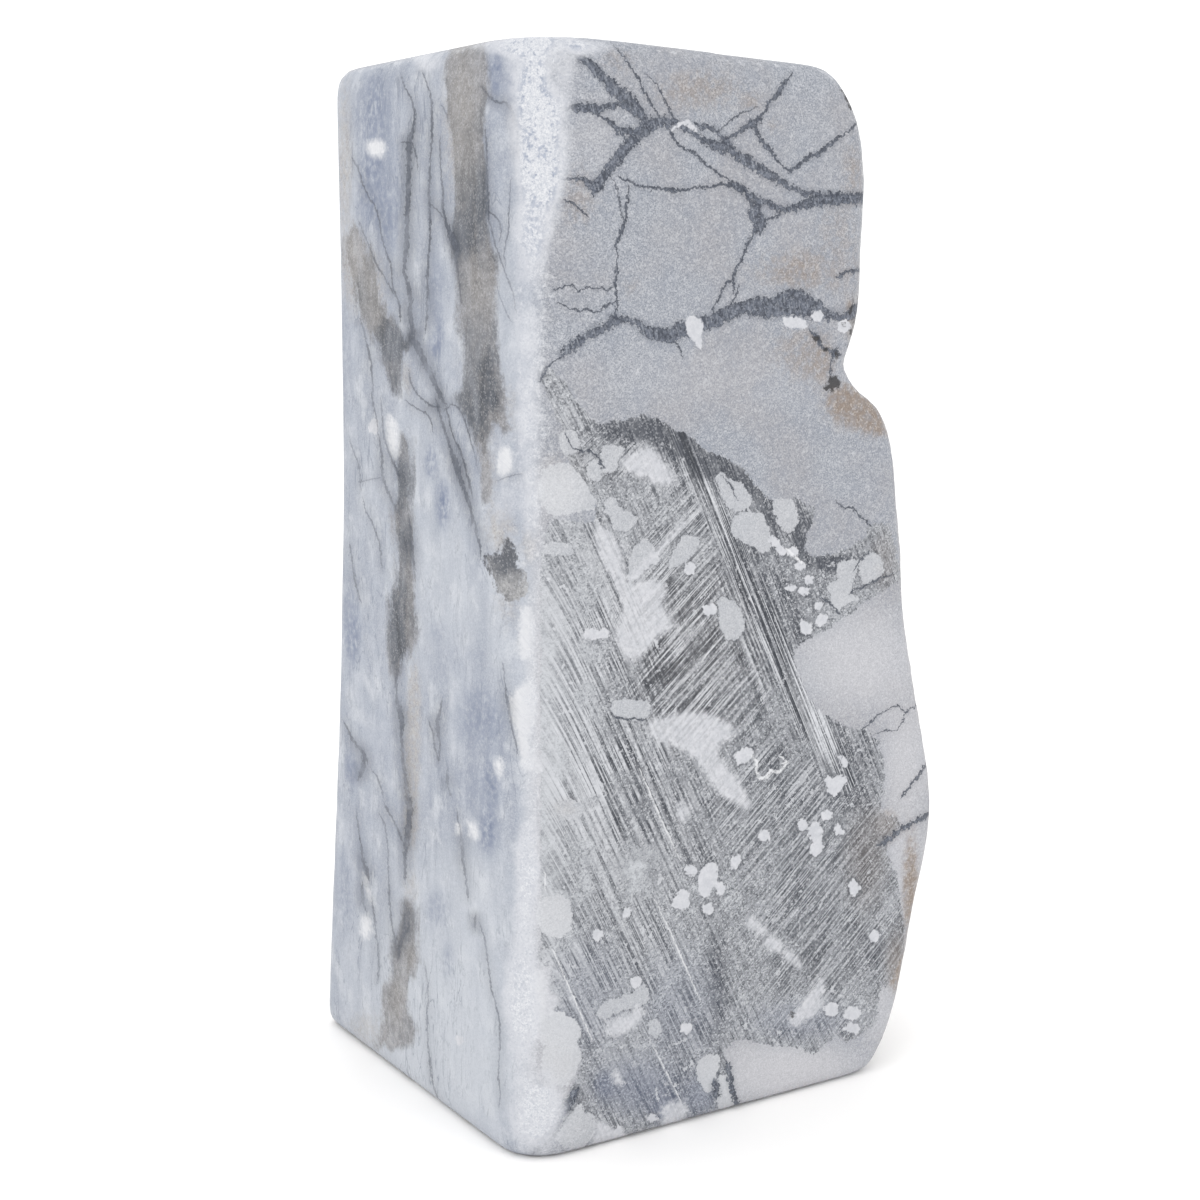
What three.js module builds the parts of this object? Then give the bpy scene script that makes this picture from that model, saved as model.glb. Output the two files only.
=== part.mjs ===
// A block of alabaster for carving, standing on its sawn base.
// Four faces are sawn flat (front, left, top and base), the back is sawn and gently dished,
// and the right side keeps the skin that the stone broke with: a ledge and soft lumps.
// Every edge is tumbled round. Millimetres, +Z up, front face towards -Y.
import * as THREE from "three";
import { mergeVertices } from "three/addons/utils/BufferGeometryUtils.js";

// Driving dimensions. While it is shaped, the stone's near corner stands at x = 0, y = 0.
const HEIGHT = 240;
const NEAR_EDGE_RADIUS_BASE = 11;
const NEAR_EDGE_RADIUS_TOP = 21;
const FAR_EDGE_RADIUS = 9;
const SIDE_EDGE_RADIUS = 5;
const BASE_EDGE_RADIUS = 2;
const TOP_EDGE_RADIUS = 4.5;
const TOP_FALL = 1.5;

// The natural side seen from the front: how far it stands out from the left face, by height.
const NATURAL_OUTLINE = [
  [100.5, 0],
  [106.5, 9],
  [110.2, 21],
  [113.4, 38],
  [117, 54],
  [118.4, 64],
  [116.7, 77],
  [111.7, 96],
  [106.8, 117],
  [104.1, 136],
  [102.4, 150],
  [100, 160],
  [95, 167],
  [87.5, 171.5],
  [85, 175.5],
  [88, 180],
  [89.7, 190],
  [90, 210],
  [89.6, 221],
  [87.5, 229],
  [83.2, 235],
  [79, 240],
];

// The back face seen from the left: how deep the stone is, by height.
const BACK_OUTLINE = [
  [102.5, 0],
  [99.8, 40],
  [96.4, 80],
  [93.8, 110],
  [92, 140],
  [90.8, 165],
  [91.6, 205],
  [93, 240],
];

// The ledge of the natural side falls towards the back in a slow wave, and the side swells
// between its edges.
const LEDGE_FALL = 22;
const LEDGE_WAVE = 3.5;
const SWELL = 7;

// Soft lumps (rise above 0) and hollows (rise below 0) of the natural side: y, z, width, height.
const LUMPS = [
  { y: 66, z: 214, wide: 20, tall: 16, rise: 5.5 },
  { y: 24, z: 205, wide: 12, tall: 13, rise: -2.5 },
  { y: 40, z: 182, wide: 14, tall: 9, rise: 3 },
  { y: 46, z: 168, wide: 13, tall: 6, rise: -6 },
  { y: 84, z: 172, wide: 10, tall: 9, rise: -4 },
  { y: 70, z: 149, wide: 16, tall: 9, rise: -5 },
  { y: 38, z: 134, wide: 22, tall: 12, rise: 5 },
  { y: 80, z: 118, wide: 13, tall: 16, rise: 6 },
  { y: 52, z: 104, wide: 13, tall: 9, rise: -5.5 },
  { y: 34, z: 82, wide: 14, tall: 12, rise: 4 },
  { y: 78, z: 74, wide: 14, tall: 12, rise: -5 },
  { y: 48, z: 52, wide: 15, tall: 10, rise: -5 },
  { y: 74, z: 36, wide: 18, tall: 13, rise: 5.5 },
  { y: 34, z: 22, wide: 13, tall: 9, rise: 3.5 },
];

// The dish of the back face, and the pit that opens at the ledge.
const BACK_DISH = 2.5;
const PIT = { x: 92, y: 3, z: 173, across: 4.5, deep: 3 };

// Faceting: columns along each of the four sides, rows up the wall, rows round an end edge,
// and rings between the axis and the rim of an end face.
const SIDE_COLUMNS = 14;
const WALL_ROWS = 42;
const EDGE_ROWS = 4;
const END_RINGS = 3;
const SIDES = 4 * SIDE_COLUMNS;

// A lookup of size by height along a smooth curve through hand-set points.
function sizeByHeight(points) {
  const curve = new THREE.SplineCurve(points.map(([size, z]) => new THREE.Vector2(size, z)));
  const samples = curve.getPoints(20 * points.length);
  return (z) => {
    const above = samples.findIndex((sample) => sample.y >= z);
    if (above < 0) return samples.at(-1).x;
    if (above === 0) return samples[0].x;
    const low = samples[above - 1];
    const high = samples[above];
    return THREE.MathUtils.mapLinear(z, low.y, high.y, low.x, high.x);
  };
}

const naturalOutline = sizeByHeight(NATURAL_OUTLINE);
const backOutline = sizeByHeight(BACK_OUTLINE);

function naturalSide(y, z) {
  const share = THREE.MathUtils.clamp(y / backOutline(z), 0, 1);
  const swell = SWELL * Math.sin(Math.PI * share);
  const lumps = LUMPS.map(
    (lump) => lump.rise * Math.exp(-(((y - lump.y) / lump.wide) ** 2) - ((z - lump.z) / lump.tall) ** 2),
  );
  return lumps.reduce((sum, lump) => sum + lump, naturalOutline(z) + swell);
}

function backFace(x, z) {
  const share = THREE.MathUtils.clamp(x / naturalOutline(z), 0, 1);
  return backOutline(z) - BACK_DISH * Math.sin(Math.PI * share);
}

// How far a point lies outside two faces that meet in an edge of the given radius.
function pastEdge(pastA, pastB, radius) {
  const corner = Math.hypot(Math.max(pastA + radius, 0), Math.max(pastB + radius, 0));
  return Math.min(Math.max(pastA, pastB), -radius) + corner;
}

// How far a point lies outside the stone's level section.
function pastSection(x, y, z) {
  const nearRadius = THREE.MathUtils.lerp(NEAR_EDGE_RADIUS_BASE, NEAR_EDGE_RADIUS_TOP, z / HEIGHT);
  const near = pastEdge(-x, -y, nearRadius);
  const far = pastEdge(x - naturalSide(y, z), y - backFace(x, z), FAR_EDGE_RADIUS);
  return pastEdge(near, far, SIDE_EDGE_RADIUS);
}

// The point of the section's outline on the way from its middle to a point outside it.
function outlinePoint(middle, outer, z, inset) {
  let inside = 0;
  let outside = 1.3;
  while (outside - inside > 1e-5) {
    const share = (inside + outside) / 2;
    const point = middle.clone().lerp(outer, share);
    if (pastSection(point.x, point.y, z) + inset > 0) outside = share;
    else inside = share;
  }
  return middle.clone().lerp(outer, inside);
}

// The columns crowd towards the four corners, where the section turns.
function squareCorner(side, z) {
  const right = naturalOutline(z);
  const back = backOutline(z);
  const corners = [
    [0, 0],
    [right, 0],
    [right, back],
    [0, back],
  ];
  return new THREE.Vector2(...corners[side % 4]);
}

function squarePoint(column, z) {
  const side = Math.floor(column / SIDE_COLUMNS);
  const share = (column % SIDE_COLUMNS) / SIDE_COLUMNS;
  const crowded = (1 - Math.cos(Math.PI * share)) / 2;
  return squareCorner(side, z).lerp(squareCorner(side + 1, z), crowded);
}

// Rows from the middle of the base, out and up the wall, to the middle of the top face.
// share is how far out from the axis a row lies, and inset is what the rounded end edge takes off.
function stoneRows() {
  const endRows = (end, radius, inwards) => {
    const rows = [];
    for (let ring = 0; ring <= END_RINGS; ring++) {
      rows.push({ share: ring / (END_RINGS + 1), inset: radius, z: end });
    }
    for (let row = 0; row < EDGE_ROWS; row++) {
      const angle = (row / EDGE_ROWS) * (Math.PI / 2);
      const inset = radius * (1 - Math.sin(angle));
      rows.push({ share: 1, inset, z: end + inwards * radius * (1 - Math.cos(angle)) });
    }
    return rows;
  };
  const outline = new THREE.SplineCurve(NATURAL_OUTLINE.map(([x, z]) => new THREE.Vector2(x, z)));
  const low = BASE_EDGE_RADIUS;
  const high = HEIGHT - TOP_EDGE_RADIUS;
  const wallRows = outline.getSpacedPoints(WALL_ROWS).map((point) => ({
    share: 1,
    inset: 0,
    z: THREE.MathUtils.mapLinear(point.y, 0, HEIGHT, low, high),
  }));
  return [
    ...endRows(0, BASE_EDGE_RADIUS, 1),
    ...wallRows,
    ...endRows(HEIGHT, TOP_EDGE_RADIUS, -1).reverse(),
  ];
}

// What lies further back is lower, most at mid height and not at all in the base and the top,
// and the top face was sawn a little out of square: it falls to the right.
function fall(place) {
  const share = place.y / backOutline(place.z);
  const backwards = LEDGE_FALL * share + LEDGE_WAVE * Math.sin(2 * Math.PI * share);
  const sideways = TOP_FALL * (place.x / naturalOutline(HEIGHT)) * (place.z / HEIGHT);
  return backwards * Math.sin((Math.PI * place.z) / HEIGHT) + sideways;
}

// The pit is pressed into the front edge of the ledge.
function pressPit(point) {
  const far = Math.hypot(point.x - PIT.x, point.y - PIT.y, point.z - PIT.z) / PIT.across;
  const depth = PIT.deep * Math.exp(-far * far);
  point.x -= depth;
  point.y += depth / 2;
}

// The stone is a lathe-turned form whose rings are moved out to the outline of each level section.
function stoneGeometry() {
  const rows = stoneRows();
  const profile = rows.map((row) => new THREE.Vector2(row.share, row.z));
  profile[0].x = 0;
  profile.at(-1).x = 0;
  const turned = new THREE.LatheGeometry(profile, SIDES).rotateX(Math.PI / 2);
  const places = turned.getAttribute("position");
  for (let column = 0; column <= SIDES; column++) {
    rows.forEach(({ share, inset, z }, row) => {
      const middle = new THREE.Vector2(naturalOutline(z) / 2, backOutline(z) / 2);
      const rim = outlinePoint(middle, squarePoint(column % SIDES, z), z, inset);
      const flat = middle.lerp(rim, share);
      const place = new THREE.Vector3(flat.x, flat.y, z);
      pressPit(place);
      place.z -= fall(place);
      places.setXYZ(column * rows.length + row, place.x, place.y, place.z);
    });
  }
  turned.deleteAttribute("normal");
  turned.deleteAttribute("uv");
  return mergeVertices(turned, 1e-3);
}

// The finished stone stands with the middle of its outer box over the origin.
const geometry = stoneGeometry();
geometry.computeBoundingBox();
const middle = geometry.boundingBox.getCenter(new THREE.Vector3());
geometry.translate(-middle.x, -middle.y, -geometry.boundingBox.min.z);
geometry.computeVertexNormals();

const alabaster = new THREE.MeshStandardMaterial({ color: 0xbfc4cc, roughness: 0.5, metalness: 0 });
const stone = new THREE.Mesh(geometry, alabaster);
stone.name = "stone";

const part = new THREE.Group();
part.name = "alabaster_carving_stone";
part.add(stone);

export default part;
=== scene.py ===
# %% [markdown]
# # An alabaster carving stone
# The object is one block of veined alabaster, 24 cm tall, as it is sold to carvers. Four faces are
# sawn, one side keeps its natural skin, and all edges have been tumbled round.
# The CAD model already has its form. Here it gets what makes it stone: fine relief, veins,
# broken clasts in a darker ground, saw scratches and worn white edges.

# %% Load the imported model
import math

import bpy
import numpy as np
from mathutils import Matrix, Vector


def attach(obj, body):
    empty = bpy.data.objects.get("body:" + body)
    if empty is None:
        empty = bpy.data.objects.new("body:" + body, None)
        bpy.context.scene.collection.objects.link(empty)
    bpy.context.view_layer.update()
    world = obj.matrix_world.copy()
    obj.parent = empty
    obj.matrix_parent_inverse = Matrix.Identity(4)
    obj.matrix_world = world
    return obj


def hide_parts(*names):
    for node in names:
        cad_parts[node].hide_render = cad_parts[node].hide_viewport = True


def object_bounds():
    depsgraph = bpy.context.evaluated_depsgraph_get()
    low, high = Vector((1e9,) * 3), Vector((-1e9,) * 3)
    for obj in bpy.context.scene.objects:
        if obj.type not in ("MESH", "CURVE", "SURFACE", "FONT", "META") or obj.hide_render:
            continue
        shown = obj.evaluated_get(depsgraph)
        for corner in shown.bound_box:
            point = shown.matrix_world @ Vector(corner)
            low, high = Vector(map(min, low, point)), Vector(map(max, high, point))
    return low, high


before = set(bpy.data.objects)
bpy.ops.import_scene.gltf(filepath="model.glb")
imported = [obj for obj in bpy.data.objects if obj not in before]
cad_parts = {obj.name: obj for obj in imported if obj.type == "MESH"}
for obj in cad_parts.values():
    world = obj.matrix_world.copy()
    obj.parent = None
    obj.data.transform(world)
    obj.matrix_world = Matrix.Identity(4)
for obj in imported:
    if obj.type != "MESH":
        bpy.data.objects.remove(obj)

cad_low, cad_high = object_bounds()
print("CAD box in mm:", [round(1000 * side, 1) for side in cad_high - cad_low])

# %% [markdown]
# ## The camera
# The camera stands where the photographer's stood. Its place, its three angles and its lens
# were found by matching the corners and edges of the block, so the view has the same
# perspective.
# A camera looks along its own -Z, and its matrix has its right, up and back directions as columns.

# %% Place the camera
PICTURE_SIDE = 1200
FOCAL_PIXELS = 1900
SENSOR_MM = 36
CAMERA_PLACE = Vector((-0.26214, -0.38308, 0.18831))
YAW, PITCH, ROLL = (math.radians(angle) for angle in (33.205, 9.192, 0.768))

level_share = math.cos(PITCH)
looking = Vector((math.sin(YAW) * level_share, math.cos(YAW) * level_share, -math.sin(PITCH)))
level_right = Vector((math.cos(YAW), -math.sin(YAW), 0))
level_up = level_right.cross(looking)
picture_right = math.cos(ROLL) * level_right + math.sin(ROLL) * level_up
picture_up = math.cos(ROLL) * level_up - math.sin(ROLL) * level_right

bpy.ops.object.camera_add(location=CAMERA_PLACE)
camera = bpy.context.object
camera.data.sensor_width = SENSOR_MM
camera.data.lens = FOCAL_PIXELS / PICTURE_SIDE * SENSOR_MM
turned = Matrix((picture_right, picture_up, -looking)).transposed()
camera.matrix_world = Matrix.Translation(CAMERA_PLACE) @ turned.to_4x4()
bpy.context.scene.camera = camera
print("lens:", camera.data.lens, "mm")

# %% [markdown]
# ## Colours and one helper for nodes
# Colours are written as sRGB hex values, as a paint chip would be read, and Blender works with
# linear light, so one function turns one into the other.
# Another function adds a shader node with its settings and its links, which keeps the stone's
# material short enough to read.


# %% Define the helpers
def paint(code):
    """An sRGB hex colour as linear red, green, blue and alpha."""
    shares = [int(code[i : i + 2], 16) / 255 for i in (1, 3, 5)]
    return (*[s / 12.92 if s < 0.04045 else ((s + 0.055) / 1.055) ** 2.4 for s in shares], 1)


def add(kind, *inputs, out=0, named=None, **settings):
    """Adds a node to the stone. An input is a value, a socket to link, or None to leave it."""
    tree = alabaster.node_tree
    node = tree.nodes.new("ShaderNode" + kind)
    for name, value in settings.items():
        setattr(node, name, value)
    sockets = list(zip(node.inputs, inputs))
    sockets += [(node.inputs[name], value) for name, value in (named or {}).items()]
    for socket, value in sockets:
        if isinstance(value, bpy.types.NodeSocket):
            tree.links.new(value, socket)
        elif value is not None:
            socket.default_value = value
    return tuple(node.outputs[o] for o in out) if isinstance(out, tuple) else node.outputs[out]


print("slate grey in linear light:", [round(c, 3) for c in paint("#5F6470")])

# %% [markdown]
# ## Floor and light
# The stone was photographed on white under broad soft light, with only a thin shadow where it
# touches the ground. A white world lights it evenly from all sides, and two large soft lamps
# give the faces a little shape. The floor is far larger than the stone, so no edge of it shows.

# %% Make the floor and the lights
FLOOR_SIDE = 40.0
PAPER_ROUGHNESS = 0.9
STUDIO_BRIGHTNESS = 1.25
STONE_MIDDLE = Vector((0, 0, 0.12))

bpy.ops.object.select_all(action="DESELECT")
bpy.ops.mesh.primitive_plane_add(size=FLOOR_SIDE)
floor = bpy.context.object
floor.name = "studio_floor"

paper = bpy.data.materials.new("matt_white_paper")
paper.use_nodes = True
paper_shader = paper.node_tree.nodes["Principled BSDF"]
paper_shader.inputs["Base Color"].default_value = paint("#FCFBFA")
paper_shader.inputs["Roughness"].default_value = PAPER_ROUGHNESS
floor.data.materials.append(paper)

world = bpy.data.worlds.new("white_studio")
world.use_nodes = True
background = world.node_tree.nodes["Background"]
background.inputs["Color"].default_value = (1, 1, 1, 1)
background.inputs["Strength"].default_value = STUDIO_BRIGHTNESS
bpy.context.scene.world = world
bpy.context.scene.view_settings.view_transform = "Standard"


def soft_lamp(name, place, side, watts):
    """A square area light that faces the middle of the stone."""
    bpy.ops.object.light_add(type="AREA", location=place)
    lamp = bpy.context.object
    lamp.name = name
    lamp.data.size = side
    lamp.data.energy = watts
    lamp.rotation_euler = (STONE_MIDDLE - Vector(place)).to_track_quat("-Z", "Y").to_euler()


soft_lamp("softbox_left", (-1.1, -0.5, 0.9), 0.9, 2.8)
soft_lamp("softbox_front", (0.5, -1.4, 0.8), 1.0, 1.7)
soft_lamp("softbox_back", (0.3, 1.3, 1.1), 1.0, 2.3)

# %% [markdown]
# ## The body of the stone
# The CAD stone has large flat facets. A copy of it is merged, since its triangles are loose, and
# rebuilt by a voxel Remesh as an even skin of small squares, which a Smooth modifier evens out.
# The two faces towards the camera carry the finest markings, so only their squares are divided
# once more. That gives detail where it shows and keeps the piece under 200,000 triangles.

# %% Rebuild the skin in small squares
SAME_POINT = 1e-5
VOXEL = 0.00172
SMOOTHING_SHARE, SMOOTHING_TIMES = 0.5, 12

cad_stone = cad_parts["stone"]
bpy.ops.object.select_all(action="DESELECT")
cad_stone.select_set(True)
bpy.context.view_layer.objects.active = cad_stone
bpy.ops.object.duplicate()
stone = bpy.context.object
stone.name = "carving_stone"
stone.data.name = "carving_stone"
stone.parent = None
# The notes on the CAD node belong to that node alone.
for key in list(stone.keys()):
    del stone[key]
stone.data.materials.clear()

bpy.ops.object.mode_set(mode="EDIT")
bpy.ops.mesh.select_all(action="SELECT")
bpy.ops.mesh.remove_doubles(threshold=SAME_POINT)
bpy.ops.object.mode_set(mode="OBJECT")

remesh = stone.modifiers.new("small_squares", "REMESH")
remesh.mode = "VOXEL"
remesh.voxel_size = VOXEL
bpy.ops.object.modifier_apply(modifier=remesh.name)
smooth = stone.modifiers.new("even_out", "SMOOTH")
smooth.factor = SMOOTHING_SHARE
smooth.iterations = SMOOTHING_TIMES
bpy.ops.object.modifier_apply(modifier=smooth.name)
print("squares after the remesh:", len(stone.data.polygons))

# %% Divide the squares that face the camera
# Parts of a square's unit normal: towards the camera's side, towards one face, and up or down.
TOWARDS_CAMERA, ONTO_A_FACE, MOSTLY_LEVEL = 0.35, 0.25, 0.7
for face in stone.data.polygons:
    towards = -(face.normal.x + face.normal.y)
    face.select = towards > TOWARDS_CAMERA and abs(face.normal.z) < MOSTLY_LEVEL
    face.select = face.select and min(face.normal.x, face.normal.y) < -ONTO_A_FACE
for vertex in stone.data.vertices:
    vertex.select = False
for edge in stone.data.edges:
    edge.select = False
bpy.ops.object.mode_set(mode="EDIT")
bpy.ops.mesh.select_mode(type="FACE")
bpy.ops.mesh.subdivide(number_cuts=1)
bpy.ops.object.mode_set(mode="OBJECT")
print("squares after the division:", len(stone.data.polygons))
print("triangles:", sum(len(face.vertices) - 2 for face in stone.data.polygons))

# %% [markdown]
# ### The natural side
# The right side broke along the rock and was never sawn, so it has lumps of about a centimetre
# with small pits on them. Two Displace modifiers push the skin in and out by a procedural cloud
# texture each. A vertex group keeps them to that side, and off the base, which stays flat.

# %% Roughen the natural side
count = len(stone.data.vertices)


def read_vectors(collection, field):
    """One row of three numbers for each vertex."""
    numbers = np.empty(3 * count, np.float32)
    collection.foreach_get(field, numbers)
    return numbers.reshape(-1, 3)


def ease(values, low, high):
    """0 below low, 1 above high and a smooth step between them."""
    share = np.clip((values - low) / (high - low), 0, 1)
    return share * share * (3 - 2 * share)


places = read_vectors(stone.data.vertices, "co")
normals = read_vectors(stone.data.vertex_normals, "vector")
skin = ease(normals[:, 0], 0.35, 0.75)
roughened = ease(normals[:, 0], 0.5, 0.9) * ease(places[:, 2], 0.004, 0.02)
roughened *= ease(places[:, 1] - cad_low.y, 0.004, 0.016) * 0.8 + 0.2
natural_group = stone.vertex_groups.new(name="natural_skin")
for index in np.nonzero(roughened > 0.01)[0]:
    natural_group.add([int(index)], float(roughened[index]), "REPLACE")

# The name of each relief, the size of its lumps and how far it reaches from the lowest to the
# highest point, in metres.
RELIEFS = (("lumps", 0.014, 0.0055), ("pits_and_grains", 0.0045, 0.0019))
for name, lump_size, rise in RELIEFS:
    clouds = bpy.data.textures.new(name, "CLOUDS")
    clouds.noise_scale = lump_size
    clouds.noise_depth = 2
    displace = stone.modifiers.new(name, "DISPLACE")
    displace.texture = clouds
    displace.texture_coords = "LOCAL"
    displace.strength = rise
    displace.vertex_group = natural_group.name
    bpy.ops.object.modifier_apply(modifier=displace.name)
moved = np.linalg.norm(read_vectors(stone.data.vertices, "co") - places, axis=1)
print("moved", int((moved > SAME_POINT).sum()), "vertices")
print("farthest move in mm:", round(1000 * float(moved.max()), 2))

# %% [markdown]
# ## Where each point shows in the picture
# The markings were traced over the photograph, in its pixels. To put them on the stone,
# every vertex is projected through the same camera, which tells at which pixel it shows.
# Points that face away from the camera take no part: a weight called seen fades to 0 there,
# and the markings of those sides are made up in the material in the same manner.

# %% Project every vertex into the picture
places = read_vectors(stone.data.vertices, "co")
from_camera = places - np.array(CAMERA_PLACE)
ahead = from_camera @ np.array(looking)
pixels = np.stack(
    [
        PICTURE_SIDE / 2 + FOCAL_PIXELS * (from_camera @ np.array(picture_right)) / ahead,
        PICTURE_SIDE / 2 - FOCAL_PIXELS * (from_camera @ np.array(picture_up)) / ahead,
    ],
    axis=1,
)
facing = -np.sum(from_camera * normals, axis=1) / np.linalg.norm(from_camera, axis=1)
seen = ease(facing, -0.04, 0.12)
shown = pixels[seen > 0]
print("the stone spans pixels", shown.min(0).round(), "to", shown.max(0).round())

# %% [markdown]
# ## Measuring from a traced line
# A marking with a crisp edge can't be stored as a colour on vertices that lie about 4 pixels
# apart, because it would blur. A distance can: between vertices it changes evenly, so the
# material finds the exact edge where it passes 0. A closed outline gives one distance, above 0
# inside. A vein gives three numbers: the distance with a sign for the side, the plain distance,
# and the vein's half width there. The sign is what keeps a line one pixel wide unbroken.

# %% Define the distance functions
REACH = 30.0


def near_box(shape):
    """The numbers of the vertices that lie within reach of a traced shape, in the picture."""
    low = np.min(np.array(shape)[:, :2], axis=0) - REACH
    high = np.max(np.array(shape)[:, :2], axis=0) + REACH
    return np.nonzero(np.all((pixels > low) & (pixels < high), axis=1) & (seen > 0))[0]


def to_segment(points, start, end):
    """Distance to a straight piece of line, its sign by side, and the share of the way along it."""
    along = end - start
    offset = points - start
    share = np.clip(offset @ along / max(along @ along, 1e-9), 0, 1)
    apart = np.linalg.norm(offset - share[:, None] * along, axis=1)
    side = np.where(along[0] * offset[:, 1] - along[1] * offset[:, 0] < 0, -1.0, 1.0)
    return apart, side, share


def vein_distance(veins):
    """Signed distance, plain distance and half width of the nearest vein, for every vertex."""
    result = np.tile([REACH, REACH, 0.0], (count, 1))
    for vein in veins:
        chosen = near_box(vein)
        for (x0, y0, w0), (x1, y1, w1) in zip(vein, vein[1:]):
            apart, side, share = to_segment(pixels[chosen], np.array([x0, y0]), np.array([x1, y1]))
            nearer = apart < result[chosen, 1]
            rows = chosen[nearer]
            result[rows, 0] = (side * apart)[nearer]
            result[rows, 1] = apart[nearer]
            result[rows, 2] = (w0 + share * (w1 - w0))[nearer]
    return result


def outline_distance(outlines):
    """Distance to the nearest traced outline, above 0 inside one of them, for every vertex."""
    result = np.full(count, -REACH)
    for outline in outlines:
        chosen = near_box(outline)
        points = pixels[chosen]
        apart = np.full(len(chosen), REACH)
        inside = np.zeros(len(chosen), bool)
        for (x0, y0), (x1, y1) in zip(outline, outline[1:] + outline[:1]):
            apart = np.minimum(apart, to_segment(points, np.array([x0, y0]), np.array([x1, y1]))[0])
            if y0 != y1:
                crossing = x0 + (points[:, 1] - y0) * (x1 - x0) / (y1 - y0)
                between = (points[:, 1] > min(y0, y1)) & (points[:, 1] <= max(y0, y1))
                inside ^= between & (points[:, 0] < crossing)
        result[chosen] = np.maximum(result[chosen], np.where(inside, apart, -apart))
    return result


def store(name, values):
    """Keeps numbers on the mesh, one or three for each vertex, for the material to read."""
    kind = "FLOAT" if values.ndim == 1 else "FLOAT_VECTOR"
    field = "value" if values.ndim == 1 else "vector"
    attribute = stone.data.attributes.new(name, kind, "POINT")
    attribute.data.foreach_set(field, np.ascontiguousarray(values, np.float32).ravel())
    print("stored", name, "from", values.min().round(2), "to", values.max().round(2))


# %% [markdown]
# ## The veins
# The veins are thin sheets of dark slate-blue clay that filled cracks in the rock, cut across by
# the sawn faces. Each was traced as a chain of points: across, down and half width, in pixels.
# The upper part of the front face has a main vein with a fork, side branches and a few hairlines.

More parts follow.
